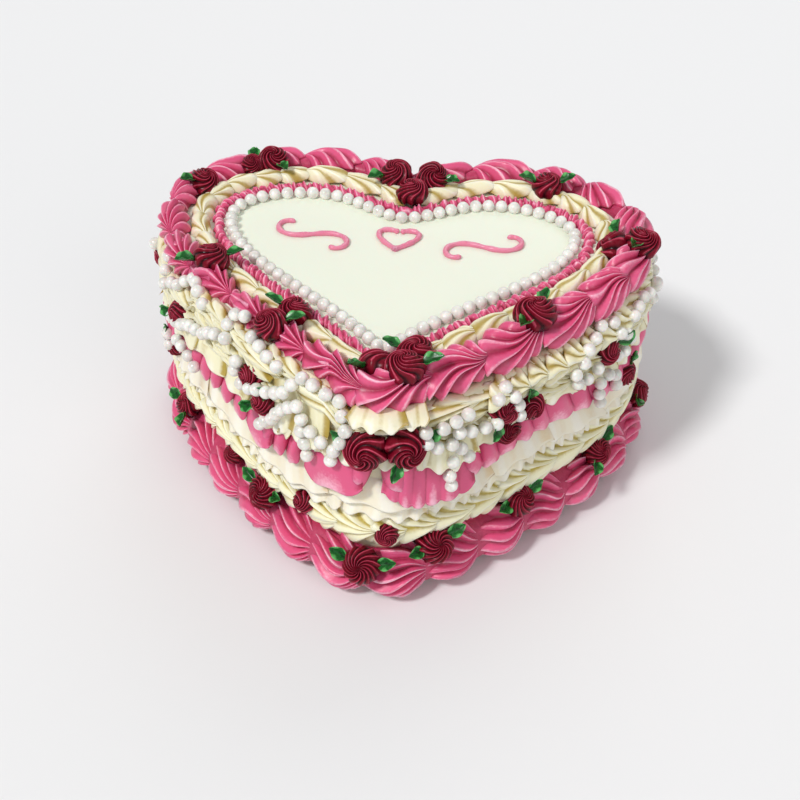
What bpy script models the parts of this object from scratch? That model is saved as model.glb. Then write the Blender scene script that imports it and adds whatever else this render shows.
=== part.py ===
"""Heart shaped buttercream cake with piped shell borders, ruffles, sugar pearls, rosettes and leaves.

Metres, +Z up. The heart's tip points to -Y and its cleft to +Y, and the cake stands on z = 0.
A place on the cake is given by s, the way round the wall from the tip, counted towards +X,
by d, the distance out from the wall, and by the height z.
"""

import math
import random

import bmesh
import bpy
import numpy as np
from mathutils import Matrix, Vector

# The heart that the bare wall follows
HALF_WIDTH = 0.116
HEIGHT = 0.116
LOBE_X = 0.0461
LOBE_Y = 0.0598
WIDEST_Y = 0.0046
CLEFT_Y = 0.0434
CLEFT_ANGLE = 0.3464
CLEFT_ROUND = 0.006
TIP_Y = -0.1558
TIP_ANGLE = 0.5714
TIP_ROUND = 0.0175
TIP_LEAN = 0.0063

# How those points move as the outline is set out by d
CLEFT_GROWTH = 1.1
TIP_GROWTH = 1.85
TIP_ROUND_GROWTH = 0.5
PANEL_SHIFT = -0.0045

# Bands from the top panel down, each between two distances or heights
GAP = 0.0003
WALL_SET_IN = -0.0007
PEARL_LINE = -0.031
PEARL_RADIUS = 0.00315
PEARL_COUNT = 72
PEARL_SUNK = 0.0008
ROPE_IN, ROPE_OUT, ROPE_RISE = -0.0274, -0.0212, 0.0045
CREAM_IN, CREAM_OUT, CREAM_RISE = -0.0208, -0.0128, 0.0075
CREAM_SHELL_COUNT = 32
SKIN = 0.0008
TOP_SHELL_COUNT = 22
TOP_TOE, TOP_REACH, TOP_RISE, TOP_DROP = -0.0122, 0.0075, 0.0125, 0.0105
SET_BACK_FROM, SET_BACK_TO, SET_BACK_BLEND = -0.112, -0.016, 0.008
SET_BACK_REACH, SET_BACK_DROP = 0.0025, 0.003
BASE_SHELL_COUNT = 26
BASE_REACH, BASE_TOP, BASE_BULGE = 0.0155, 0.034, 0.012
GARLAND_TOP = HEIGHT - TOP_DROP - 0.0008
GARLAND_HIGH = HEIGHT - SET_BACK_DROP - 0.0008
GARLAND_LOW = 0.0815
PETAL_LOW = 0.0675
SKIRT_LOW = 0.0500
ROW_LOW = BASE_TOP + 0.0006
SWAG_COUNT = 7
SWAG_DROP = 0.0035
SWAG_HIGH = -0.007

TRIM = 0.0004
SHORTEST = 0.00004
FLAT_ENOUGH = math.radians(10)
SEED = 7

# Draws whose uneven widths put the joints between the shells where they lie round the front
TOP_WIDTHS = 21586
BASE_WIDTHS = 23304
WIDTH_SPREAD = 0.12


def mixed(points, t):
    """A point of the cubic Bezier curve through four control points."""
    a, b, c, e = (np.array(p) for p in points)
    u = 1 - t
    return u * u * u * a + 3 * u * u * t * b + 3 * u * t * t * c + t * t * t * e


def half_heart(v, d):
    """A point of the heart's right half, set out by d: v is 0 at the tip and 1 at the cleft."""
    wide = HALF_WIDTH + d
    lobe = LOBE_Y + d
    cleft = CLEFT_Y + CLEFT_GROWTH * d
    tip = TIP_Y - TIP_GROWTH * d
    side = WIDEST_Y - tip
    arc = 0.5523
    if v < 0.5:
        t = v / 0.5
        lean_in = (0.45 * side * math.sin(TIP_ANGLE), tip + 0.45 * side * math.cos(TIP_ANGLE))
        x, y = mixed([(0, tip), lean_in, (wide, WIDEST_Y - 0.38 * side), (wide, WIDEST_Y)], t)
        r = TIP_ROUND + TIP_ROUND_GROWTH * d
        y += (math.hypot(x, r) - x) / math.tan(TIP_ANGLE) * math.exp(-((x / 0.05) ** 2))
        return x, y
    if v < 0.75:
        t = (v - 0.5) / 0.25
        up = (wide, WIDEST_Y + arc * (lobe - WIDEST_Y))
        over = (LOBE_X + arc * (wide - LOBE_X), lobe)
        return tuple(mixed([(wide, WIDEST_Y), up, over, (LOBE_X, lobe)], t))
    t = (v - 0.75) / 0.25
    r = 0.36 * math.hypot(LOBE_X, lobe - cleft)
    out = (r * math.cos(CLEFT_ANGLE), cleft + r * math.sin(CLEFT_ANGLE))
    x, y = mixed([(LOBE_X, lobe), (0.58 * LOBE_X, lobe), out, (0, cleft)], t)
    y += (math.hypot(x, CLEFT_ROUND) - x) * math.tan(CLEFT_ANGLE) * math.exp(-((x / 0.02) ** 2))
    return x, y


ALONG = np.linspace(0, 1, 601)
WALL = np.array([half_heart(v, 0.0) for v in ALONG])
LENGTHS = np.concatenate([[0], np.cumsum(np.hypot(*np.diff(WALL, axis=0).T))])
HALF_ROUND = float(LENGTHS[-1])
ROUND = 2 * HALF_ROUND


def wrapped(s):
    return (s + HALF_ROUND) % ROUND - HALF_ROUND


def place(s, d, z):
    """The point at s round the wall, d out from it and z up."""
    s = wrapped(s)
    x, y = half_heart(float(np.interp(abs(s), LENGTHS, ALONG)), d)
    tip = TIP_Y - TIP_GROWTH * d + (TIP_ROUND + TIP_ROUND_GROWTH * d) / math.tan(TIP_ANGLE)
    down = min(max((LOBE_Y + d - y) / (LOBE_Y + d - tip), 0.0), 1.3)
    shift = PANEL_SHIFT * min(max(-d / -PEARL_LINE, 0.0), 1.3)
    return Vector((math.copysign(x, s) + TIP_LEAN * down * down, y + shift, z))


def facing(s):
    """Unit vectors along the wall and out from it at s."""
    step = 0.002
    run = (place(s + step, 0, 0) - place(s - step, 0, 0)).normalized()
    return run, Vector((run.y, -run.x, 0))


def swag(s, z):
    """The side bands hang in shallow swags between the two shell borders."""
    room = (GARLAND_TOP - z) * (z - ROW_LOW) * 4 / (GARLAND_TOP - ROW_LOW) ** 2
    phase = 2 * math.pi * SWAG_COUNT * (s - SWAG_HIGH) / ROUND
    return z + SWAG_DROP * max(room, 0.0) * math.cos(phase)


def overhang(s):
    """1 where the top shells hang over the edge, and 0 on the left of the front, where they are set back."""
    s = wrapped(s)
    into = (s - SET_BACK_FROM) / SET_BACK_BLEND
    out_of = (SET_BACK_TO - s) / SET_BACK_BLEND
    return 1 - min(max(min(into, out_of) + 0.5, 0.0), 1.0)


def top_shell_reach(s):
    """How far out and how far down the top shells come at s."""
    share = overhang(s)
    reach = SET_BACK_REACH + share * (TOP_REACH - SET_BACK_REACH)
    return reach, SET_BACK_DROP + share * (TOP_DROP - SET_BACK_DROP)


def uneven(seed, count, spread):
    """Seeded factors round 1, one for each of count pieces."""
    draw = random.Random(SEED + seed)
    return [1 + draw.uniform(-spread, spread) for _ in range(count)]


def icing(name, colour, roughness):
    material = bpy.data.materials.new(name)
    material.use_nodes = True
    shader = material.node_tree.nodes["Principled BSDF"]
    shader.inputs["Base Color"].default_value = (*colour, 1.0)
    shader.inputs["Roughness"].default_value = roughness
    shader.inputs["Metallic"].default_value = 0.0
    return material


def add_object(name, bm, collection, material=None):
    """A mesh object from a bmesh, with its faces turned outwards."""
    bmesh.ops.recalc_face_normals(bm, faces=bm.faces)
    if bm.calc_volume(signed=True) < 0:
        bmesh.ops.reverse_faces(bm, faces=bm.faces)
    mesh = bpy.data.meshes.new(name)
    bm.to_mesh(mesh)
    bm.free()
    if material:
        mesh.materials.append(material)
    obj = bpy.data.objects.new(name, mesh)
    collection.objects.link(obj)
    return obj


def ring(name, stations, section, collection, material):
    """A closed band round the cake: section(s, i) gives its (d, z) outline at each station."""
    bm = bmesh.new()
    loops = []
    for i, s in enumerate(stations):
        loops.append([bm.verts.new(place(s, d, z)) for d, z in section(s, i)])
    for near, far in zip(loops, loops[1:] + loops[:1]):
        for j in range(len(near)):
            k = (j + 1) % len(near)
            bm.faces.new((near[j], near[k], far[k], far[j]))
    return add_object(name, bm, collection, material)


def boolean(obj, other, operation):
    """Joins or cuts with an object or a collection, and keeps the result as the object's mesh."""
    modifier = obj.modifiers.new(operation.lower(), "BOOLEAN")
    modifier.operation = operation
    modifier.solver = "MANIFOLD"
    if isinstance(other, bpy.types.Collection):
        modifier.operand_type = "COLLECTION"
        modifier.collection = other
    else:
        modifier.object = other
    graph = bpy.context.evaluated_depsgraph_get()
    mesh = bpy.data.meshes.new_from_object(obj.evaluated_get(graph))
    obj.modifiers.remove(modifier)
    old = obj.data
    obj.data = mesh
    bpy.data.meshes.remove(old)


def bodies_of(bm):
    """The sets of faces that hang together, where a line that more than two faces share parts them."""
    left = set(bm.faces)
    bodies = []
    while left:
        queue = [left.pop()]
        body = set(queue)
        while queue:
            for edge in queue.pop().edges:
                if len(edge.link_faces) != 2:
                    continue
                for face in edge.link_faces:
                    if face in left:
                        left.remove(face)
                        body.add(face)
                        queue.append(face)
        bodies.append(body)
    return bodies


def keep_largest(obj, flat_enough=0.0):
    """Drops scraps and sealed hollows beside the main body, and joins facets that lie flat enough."""
    bm = bmesh.new()
    bm.from_mesh(obj.data)
    bodies = sorted(bodies_of(bm), key=lambda body: sum(face.calc_area() for face in body))
    for body in bodies[:-1]:
        bmesh.ops.delete(bm, geom=list(body), context="FACES")
    if flat_enough:
        bmesh.ops.dissolve_degenerate(bm, edges=bm.edges, dist=SHORTEST)
        bmesh.ops.dissolve_limit(bm, angle_limit=flat_enough, verts=bm.verts, edges=bm.edges)
    bmesh.ops.triangulate(bm, faces=bm.faces)
    bm.to_mesh(obj.data)
    bm.free()


def clear_collection(collection):
    for obj in list(collection.objects):
        mesh = obj.data
        bpy.data.objects.remove(obj)
        bpy.data.meshes.remove(mesh)


def helper_collection(name):
    """A collection of cutters or small pieces that join a larger one. It isn't a part of the cake."""
    collection = bpy.data.collections.new(name)
    bpy.context.scene.collection.children.link(collection)
    return collection


def as_helper(obj):
    obj.hide_render = True
    obj.display_type = "WIRE"
    return obj


def grown(obj, collection):
    """A copy pushed out by the clearance that touching pieces keep, as the cutter of its neighbours."""
    bm = bmesh.new()
    bm.from_mesh(obj.data)
    bm.normal_update()
    moved = [vert.co + vert.normal * TRIM for vert in bm.verts]
    for vert, spot in zip(bm.verts, moved):
        vert.co = spot
    return as_helper(add_object("grown_" + obj.name, bm, collection))


def pearl_at(spot, collection, radius=PEARL_RADIUS):
    bm = bmesh.new()
    bmesh.ops.create_icosphere(bm, subdivisions=1, radius=radius, matrix=Matrix.Translation(spot))
    return as_helper(add_object("pearl", bm, collection))


# A piped shell swells at its head, then narrows to the tail that the next head covers
def shell_size(t):
    rise = min(t / 0.22, 1.0)
    fall = max((t - 0.35) / 0.65, 0.0)
    return 0.52 + 0.48 * math.sin(rise * math.pi / 2) - 0.46 * fall**1.3


def shell_stations(count, steps, seed, spread):
    """Stations round the cake, with the phase along its shell and the shell's number for each."""
    widths = uneven(seed, count, spread)
    scale = ROUND / sum(widths)
    edge = -HALF_ROUND
    stations = []
    for number, width in enumerate(widths):
        stations += [(edge + width * scale * t, t, number) for t in steps]
        edge += width * scale
    return stations


def outside_core(d, z):
    """Moves a point that lies in the wall or the top panel out past its surface by a thin skin."""
    if d < SKIN and z < HEIGHT + SKIN:
        return (SKIN, z) if SKIN - d < HEIGHT + SKIN - z else (d, HEIGHT + SKIN)
    return d, z


def make_top_shells(name, smooth, collection, material=None):
    """The big shells that sit over the top edge. The smooth form is the even roll that just holds them."""
    stations = shell_stations(TOP_SHELL_COUNT, (0.0, 0.2, 0.65), TOP_WIDTHS, WIDTH_SPREAD)
    sizes = [size / 1.07 for size in uneven(2, TOP_SHELL_COUNT, 0.07)]
    ridges = 4

    def section(s, i):
        _, t, number = stations[i]
        reach, drop = top_shell_reach(s)
        middle = (TOP_TOE + reach) / 2 + 0.0005
        half = (reach - TOP_TOE) / 2 - 0.0005
        size = 1.0 if smooth else shell_size(t) * sizes[number]
        outline = []
        for k in range(2 * ridges + 1):
            if smooth and k % 2 == 0 and 0 < k < 2 * ridges:
                continue
            angle = math.radians(182 - 262 * k / (2 * ridges))
            crest = 1.0 if k % 2 else 0.82
            rise = TOP_RISE if angle > 0 else drop
            d = middle + (half * math.cos(angle)) * size * crest
            z = HEIGHT + rise * math.sin(angle) * size * crest
            outline.append(outside_core(d, z))
        low = min(outline[-1][1], HEIGHT - 0.002)
        toe = min(outline[0][0], -0.004)
        outline[0] = (toe, HEIGHT + GAP)
        outline[-1] = (max(outline[-1][0], 0.002), low)
        return outline + [(GAP, low), (GAP, HEIGHT + GAP)]

    return ring(name, [s for s, _, _ in stations], section, collection, material)


def make_base_shells(name, smooth, collection, material=None):
    """The shells round the foot of the wall."""
    stations = shell_stations(BASE_SHELL_COUNT, (0.0, 0.2, 0.65), BASE_WIDTHS, WIDTH_SPREAD)
    sizes = [size / 1.06 for size in uneven(4, BASE_SHELL_COUNT, 0.06)]
    ridges = 3

    def section(s, i):
        _, t, number = stations[i]
        size = 1.0 if smooth else 0.3 + 0.7 * shell_size(t) * sizes[number]
        outline = [(GAP, 0.0), (0.0115 * size, 0.0)]
        for k in range(2 * ridges + 1):
            if smooth and k % 2 == 1:
                continue
            angle = math.radians(-22 + 112 * k / (2 * ridges))
            crest = 0.84 if k % 2 else 1.0
            d = BASE_REACH * math.cos(angle) * size * crest
            z = BASE_BULGE + (BASE_TOP - BASE_BULGE) * math.sin(angle) * crest * size
            outline.append((max(d, GAP), min(z, BASE_TOP)))
        return outline

    return ring(name, [s for s, _, _ in stations], section, collection, material)


def make_cream_ring(collection, material):
    stations = shell_stations(CREAM_SHELL_COUNT, (0.0, 0.35), 5, 0.14)
    sizes = uneven(6, CREAM_SHELL_COUNT, 0.08)

    def section(s, i):
        _, t, number = stations[i]
        size = (0.62 if t == 0 else 1.0) * sizes[number]
        floor = HEIGHT + GAP
        middle = (CREAM_IN + CREAM_OUT) / 2
        half = (CREAM_OUT - CREAM_IN) / 2
        inner = middle - half * min(size, 1.0)
        outer = middle + half * min(size, 1.0)
        rise = CREAM_RISE * size
        shoulder = (inner + 0.001, floor + 0.7 * rise)
        return [(inner, floor), shoulder, (middle + 0.001, floor + rise), (outer, floor)]

    return ring("cream_shell_ring", [s for s, _, _ in stations], section, collection, material)


def make_rope(collection, material):
    count = 56
    stations = [ROUND * i / count for i in range(count)]

    def section(s, i):
        floor = HEIGHT + GAP
        rise = ROPE_RISE * (1.0 if i % 2 else 0.7)
        shift = 0.0012 * (1 if i % 2 else -1)
        middle = (ROPE_IN + ROPE_OUT) / 2 + shift
        return [(ROPE_IN, floor), (middle, floor + rise), (ROPE_OUT, floor)]

    return ring("rope_ring", stations, section, collection, material)


SIDE_BANDS = {
    "cream_garland": (68, GARLAND_LOW, GARLAND_TOP, 0.0082, 0.0010, 8),
    "petal_ruffle": (84, PETAL_LOW, GARLAND_LOW, 0.0088, 0.0009, 9),
    "cream_ruffle": (60, SKIRT_LOW, PETAL_LOW, 0.0092, 0.0012, 10),
    "cream_shell_row": (64, ROW_LOW, SKIRT_LOW, 0.0088, 0.0011, 11),
}


def make_side_band(name, smooth, collection, material=None):
    """A ruffle on the wall: tucked in at its top, thrown out at its lower edge and waved along it."""
    count, low, high, reach, wave, seed = SIDE_BANDS[name]
    stations = [ROUND * i / count for i in range(count)]
    throws = uneven(seed, count, 0.12)

    def section(s, i):
        out = 1.0 if i % 2 or smooth else -1.0
        edge = (reach + wave * out) * (1.12 if smooth else throws[i])
        bottom = swag(s, low) + 0.0003 + (0.0012 * (1 - out) if low > ROW_LOW else 0.0)
        top = swag(s, high) - 0.0003
        if high == GARLAND_TOP:
            top += (1 - overhang(s)) * (GARLAND_HIGH - GARLAND_TOP)
        tall = top - bottom
        tuck = 0.45 * reach
        return [(GAP, bottom), (0.85 * edge, bottom), (edge, bottom + 0.2 * tall), (tuck, top), (GAP, top)]

    return ring(name, stations, section, collection, material)


def panel_scroll(side):
    """One S shaped scroll of piping beside the panel's middle, as points on the top."""
    points = []
    x, y, steps, length = 0.0, 0.0, 13, 0.066
    for i in range(steps + 1):
        u = 2 * i / steps - 1
        points.append((x, y))
        heading = 4.2 * u * u - 0.3
        x += length / steps * math.cos(heading)
        y += length / steps * math.sin(heading)
    xs = [p[0] for p in points]
    ys = [p[1] for p in points]
    middle_x, middle_y = (min(xs) + max(xs)) / 2, (min(ys) + max(ys)) / 2
    return [((px - middle_x + 0.042) * side, py - middle_y - 0.012) for px, py in points]


def panel_heart(side):
    """One stroke of the small open heart piped at the middle of the panel."""
    points = []
    steps = 6
    for i in range(steps):
        a = 0.5 + (math.pi - 0.5) * i / (steps - 1)
        x = 0.0105 * math.sin(a) ** 3 - 0.0006
        y = 0.0085 * math.cos(a) - 0.0033 * math.cos(2 * a) - 0.0013 * math.cos(3 * a)
        points.append((side * x, y - 0.010))
    return points


def piped_line(name, points, collection):
    """A line of piping laid on the panel, sunk a little into it."""
    width, sunk = 0.0013, 0.0004
    curve = bpy.data.curves.new(name, "CURVE")
    curve.dimensions = "3D"
    curve.bevel_depth = width
    curve.bevel_resolution = 0
    curve.use_fill_caps = True
    line = curve.splines.new("POLY")
    line.points.add(len(points) - 1)
    for point, (x, y) in zip(line.points, points):
        point.co = (x, y, HEIGHT + width - sunk, 1)
    guide = bpy.data.objects.new(name, curve)
    collection.objects.link(guide)
    graph = bpy.context.evaluated_depsgraph_get()
    mesh = bpy.data.meshes.new_from_object(guide.evaluated_get(graph))
    bm = bmesh.new()
    bm.from_mesh(mesh)
    bpy.data.meshes.remove(mesh)
    bmesh.ops.remove_doubles(bm, verts=bm.verts, dist=1e-6)
    bpy.data.objects.remove(guide)
    bpy.data.curves.remove(curve)
    return as_helper(add_object(name, bm, collection))


def heart_block(name, wall, top, edge, collection, material=None):
    """A heart shaped block with a small bevel round its top."""
    count = 66
    bm = bmesh.new()
    loops = []
    for d, z in ((wall, 0.0), (wall, top - edge), (wall - edge, top)):
        loops.append([bm.verts.new(place(ROUND * i / count, d, z)) for i in range(count)])
    for low, high in zip(loops, loops[1:]):
        for i in range(count):
            k = (i + 1) % count
            bm.faces.new((low[i], low[k], high[k], high[i]))
    bm.faces.new(loops[0])
    bm.faces.new(loops[-1])
    return add_object(name, bm, collection, material)


def make_cake(collection, material):
    """The iced cake itself, with the pearls and the piped scrolls that lie on its top panel."""
    cake = heart_block("cake", WALL_SET_IN, HEIGHT, 0.002, collection, material)
    small = helper_collection("on_the_panel")
    ring_points = [place(ROUND * i / 400, PEARL_LINE, 0) for i in range(400)]
    steps = np.cumsum([0] + [(b - a).length for a, b in zip(ring_points, ring_points[1:] + ring_points[:1])])
    for i in range(PEARL_COUNT):
        s = ROUND * float(np.interp(steps[-1] * (i + 0.5) / PEARL_COUNT, steps, np.arange(401))) / 400
        pearl_at(place(s, PEARL_LINE, HEIGHT + PEARL_RADIUS - PEARL_SUNK), small)
    for side in (-1, 1):
        piped_line("scroll", panel_scroll(side), small)
        piped_line("heart_stroke", panel_heart(side), small)
    boolean(cake, small, "UNION")
    clear_collection(small)
    keep_largest(cake)
    return cake


def seat(kind, s, q):
    """Where a rosette or leaf sits: its spot, and the way it faces. q is d on the top, else z."""
    run, out = facing(s)
    up = Vector((0, 0, 1))
    if kind == "top" and q < TOP_TOE:
        return place(s, q, HEIGHT + 0.75 * CREAM_RISE), run, up
    if kind == "top":
        reach, _ = top_shell_reach(s)
        middle = (TOP_TOE + reach) / 2
        share = min(max((q - middle) / (reach - middle), -0.9), 0.9)
        tall = math.sqrt(1 - share * share)
        way = (out * share * 0.8 + up * tall).normalized()
        return place(s, q, HEIGHT + 0.78 * TOP_RISE * tall), run, way
    if kind == "side":
        return place(s, 0.0065, q), run, (out + up * 0.15).normalized()
    share = min(max((q - BASE_BULGE) / (BASE_TOP - BASE_BULGE), 0.0), 0.85)
    reach = 0.80 * BASE_REACH * math.sqrt(1 - share * share)
    return place(s, reach, q), run, (out + up * (0.3 + share)).normalized()


def rosette(spot, run, way, radius, turn, collection):
    """A drop rosette: a low dome of swirled ridges, sunk a little into what carries it."""
    ridges, sunk = 5, 0.0035
    bm = bmesh.new()
    frame = Matrix((run, way.cross(run), way)).transposed()
    loops = []
    for share, height, twist in ((1.0, -sunk, 0.0), (0.86, 0.55 * radius, 0.35)):
        loop = []
        for k in range(2 * ridges):
            angle = math.pi * k / ridges + turn + twist
            r = radius * share * (1.0 if k % 2 else 0.82)
            rim = Vector((r * math.cos(angle), r * math.sin(angle), height))
            loop.append(bm.verts.new(spot + frame @ rim))
        loops.append(loop)
    crown = bm.verts.new(spot + way * radius)
    for low, high in zip(loops, loops[1:]):
        for k in range(2 * ridges):
            n = (k + 1) % (2 * ridges)
            bm.faces.new((low[k], low[n], high[n], high[k]))
    for k in range(2 * ridges):
        bm.faces.new((loops[-1][k], loops[-1][(k + 1) % (2 * ridges)], crown))
    bm.faces.new(loops[0])
    return as_helper(add_object("rosette", bm, collection))


def leaf(root, tip_way, face_way, length, collection):
    """A piped leaf: thin, pointed and waved, folded along its midrib, with both faces split alike."""
    across = face_way.cross(tip_way).normalized()
    thick = 0.0011
    right = ((0.35, 0.30, 0.10), (0.72, 0.22, 0.02))
    left = ((0.72, -0.22, 0.10), (0.35, -0.30, 0.02))
    rim = []
    for along, side, lift in ((0, 0, 0), *right, (1, 0, 0.12), *left):
        rim.append(root + tip_way * along * length + across * side * length + face_way * lift * length)
    middle = root + tip_way * 0.5 * length
    bm = bmesh.new()
    edge = [bm.verts.new(p) for p in rim]
    front = bm.verts.new(middle + face_way * thick)
    back = bm.verts.new(middle - face_way * thick)
    for k in range(6):
        bm.faces.new((edge[k], edge[(k + 1) % 6], front))
        bm.faces.new((edge[(k + 1) % 6], edge[k], back))
    return as_helper(add_object("leaf", bm, collection))


# Sprays: name, where it sits, rosettes as (s, d or z, radius) and leaves as (s, d or z), in millimetres
SPRAYS = (
    ("top_tip", "top", ((2, -9, 10.5), (20, -10, 10), (12, 1, 9)), ((10, -20), (-9, 3), (28, 3))),
    ("top_front_left", "top", ((-55, -13, 8.5), (-57, -1, 9)), ((-69, -8), (-44, -9))),
    ("top_left", "top", ((-116, -7, 9),), ((-119, 5), (-113, -18))),
    ("top_rear_corner", "top", ((-203, -8, 8),), ((-191, -3),)),
    ("top_rear_left", "top", ((-251, -8, 8.5), (-238, -8, 6)), ((-244, 2), (-250, -20))),
    ("top_cleft", "top", ((-324, -7, 9), (321, -8, 9), (330, -17, 8.5)), ((-316, -14), (310, -15))),
    ("top_rear_right", "top", ((253, -14, 8.5),), ((267, -17), (242, -9))),
    ("top_right", "top", ((168, -11, 9), (168, 1, 9)), ((181, -8), (156, -1))),
    ("top_front_right", "top", ((85, -3, 10),), ((99, -8), (72, 2))),
    ("side_tip", "side", ((-3, 93, 9.5), (15, 94, 9.5)), ((-13, 100), (26, 100), (7, 82))),
    ("side_front_left", "side", ((-64, 98, 7), (-56, 89, 7.5)), ((-52, 99), (-67, 82))),
    ("side_far_left", "side", ((-124, 95, 7.5),), ((-133, 92),)),
    ("side_left_low", "side", ((-146, 60, 6.5),), ((-146, 70),)),
    ("side_front_right", "side", ((62, 94, 8), (77, 88, 7.5), (65, 80, 7)), ((74, 99), (54, 86))),
    ("side_right", "side", ((126, 93, 7.5),), ((135, 97),)),
    ("side_right_low", "side", ((147, 66, 7),), ((148, 76),)),
    ("side_rear_1", "side", ((-178, 92, 7.5), (-190, 90, 7)), ((-199, 88),)),
    ("side_rear_2", "side", ((-222, 92, 7.5),), ((-230, 90),)),
    ("side_rear_3", "side", ((-268, 91, 8),), ((-278, 93),)),
    ("side_rear_4", "side", ((-316, 93, 7.5), (-328, 90, 7)), ((-308, 97),)),
    ("side_rear_5", "side", ((292, 92, 7.5),), ((301, 94),)),
    ("side_rear_6", "side", ((244, 92, 7.5), (232, 90, 7)), ((224, 88),)),
    ("side_rear_7", "side", ((198, 91, 7.5),), ((207, 94),)),
    ("base_left", "base", ((-133, 30, 7.5),), ((-144, 28), (-125, 25))),
    ("base_left_bud", "base", ((-88, 33, 5.5),), ()),
    ("base_front_left", "base", ((-62, 29, 9),), ((-74, 32), (-50, 31))),
    ("base_left_star", "side", ((-35, 43, 6),), ()),
    ("base_front_star", "side", ((6, 42, 6),), ()),
    ("base_tip", "base", ((-4, 24, 9.5),), ((-17, 27), (9, 26))),
    ("base_tip_right", "base", ((28, 29, 9.5),), ((40, 31), (17, 28))),
    ("base_front_right", "base", ((75, 30, 8.5),), ((85, 33), (65, 30))),
    ("base_right", "base", ((127, 29, 8),), ((135, 33), (118, 24))),
    ("base_rear_1", "base", ((-186, 29, 8.5),), ((-197, 31),)),
    ("base_rear_2", "base", ((-235, 29, 8.5),), ((-224, 29),)),
    ("base_rear_3", "base", ((-284, 30, 9),), ((-295, 32), (-273, 30))),
    ("base_rear_4", "base", ((326, 29, 9),), ((-327, 31), (315, 30))),
    ("base_rear_5", "base", ((274, 29, 8.5),), ((285, 31),)),
    ("base_rear_6", "base", ((222, 30, 8.5),), ((233, 32), (211, 30))),
    ("base_rear_7", "base", ((176, 29, 8.5),), ((165, 29),)),
)
MM = 0.001
LEAF_LENGTH = 0.0105


def leaf_lines(kind, rosettes, leaves):
    """The root, heading and facing of each leaf of a spray. It starts under the nearest rosette."""
    seats = [(seat(kind, s * MM, q * MM), radius * MM) for s, q, radius in rosettes]
    lines = []
    for s, q in leaves:
        spot, _, way = seat(kind, s * MM, q * MM)
        (near, _, near_way), radius = min(seats, key=lambda item: (item[0][0] - spot).length)
        face_way = (way + near_way).normalized()
        heading = spot - near
        heading = (heading - face_way * heading.dot(face_way)).normalized()
        root = near + heading * radius * 0.72 + face_way * 0.0030
        lines.append((root, (heading + face_way * 0.22).normalized(), face_way))
    return lines


def spray_pieces(name, kind, rosettes, leaves, turn):
    """The rosettes and leaves of a spray, each a solid of its own."""
    pieces = helper_collection("pieces_of_" + name)
    draw = random.Random(name)
    for s, q, radius in rosettes:
        spot, run, way = seat(kind, s * MM, q * MM)
        rosette(spot, run, way, radius * MM, draw.uniform(0, 1) + turn, pieces)
    for root, tip_way, face_way in leaf_lines(kind, rosettes, leaves):
        leaf(root, tip_way, face_way, LEAF_LENGTH, pieces)
    return pieces


def is_sound(obj):
    """Whether the mesh is one closed body with no pinched line and no edge too short to keep."""
    bm = bmesh.new()
    bm.from_mesh(obj.data)
    closed = all(len(edge.link_faces) == 2 for edge in bm.edges)
    long_enough = all(edge.calc_length() > SHORTEST for edge in bm.edges)
    spread_out = all(face.calc_area() > SHORTEST * SHORTEST for face in bm.faces)
    whole = closed and long_enough and spread_out and len(bodies_of(bm)) == 1
    bm.free()
    return whole


def make_spray(name, kind, rosettes, leaves, collection, material, cutters):
    """Rosettes and leaves piped against one another, shaped underneath by what they lie on.

    Where a cut comes out pinched, the rosettes are turned a little and it is made again.
    """
    for attempt in range(12):
        pieces = spray_pieces(name, kind, rosettes, leaves, 0.17 * attempt)
        first = pieces.objects[0]
        spray = bpy.data.objects.new(name, first.data.copy())
        spray.data.materials.append(material)
        collection.objects.link(spray)
        others = helper_collection("others_of_" + name)
        for piece in list(pieces.objects)[1:]:
            pieces.objects.unlink(piece)
            others.objects.link(piece)
        if len(others.objects):
            boolean(spray, others, "UNION")
        for cutter in cutters:
            boolean(spray, cutter, "DIFFERENCE")
        keep_largest(spray, FLAT_ENOUGH)
        for helper in (pieces, others):
            clear_collection(helper)
            bpy.data.collections.remove(helper)
        if is_sound(spray):
            break
        bpy.data.objects.remove(spray)
    return spray


# Pearl strings on the side, each as (s, z) points in millimetres that a smooth string joins
STRINGS = (
    ((-120, 90), (-112, 95), (-96, 98), (-86, 97)),
    ((-48, 92), (-42, 97), (-34, 98), (-26, 95)),
    ((30, 98), (36, 93), (44, 91), (50, 92)),
    ((100, 97), (104, 92), (110, 91), (116, 92)),
)


def fits_on_garland(spot, kept):
    """Whether a pearl lies on the garland, clear of other pearls, of the sprays and of the bands."""
    if not GARLAND_LOW + 0.006 < spot.z < GARLAND_TOP - PEARL_RADIUS - 0.0012:
        return False
    if any((spot - other).length < 2.05 * PEARL_RADIUS for other in kept):
        return False
    for _, kind, rosettes, leaves in SPRAYS:
        for s, q, radius in rosettes:
            if (seat(kind, s * MM, q * MM)[0] - spot).length < radius * MM + PEARL_RADIUS + 0.001:
                return False
        for root, tip_way, _ in leaf_lines(kind, rosettes, leaves):
            along = min(max((spot - root).dot(tip_way), 0.0), LEAF_LENGTH)
            if (root + tip_way * along - spot).length < 0.33 * LEAF_LENGTH + PEARL_RADIUS + 0.001:
                return False
    return True


def add_side_pearls(garland):
    """Fuses the pearls of the strings to the garland that carries them."""
    small = helper_collection("on_the_garland")
    steps = 40
    kept = []
    for points in STRINGS + rear_strings():
        for i in range(steps + 1):
            s, z = along_string(points, i / steps)
            spot = place(s * MM, 0.0085, swag(s * MM, z * MM))
            if fits_on_garland(spot, kept):
                kept.append(spot)
    for spot in kept:
        pearl_at(spot, small)
    boolean(garland, small, "UNION")
    clear_collection(small)
    keep_largest(garland)


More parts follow.
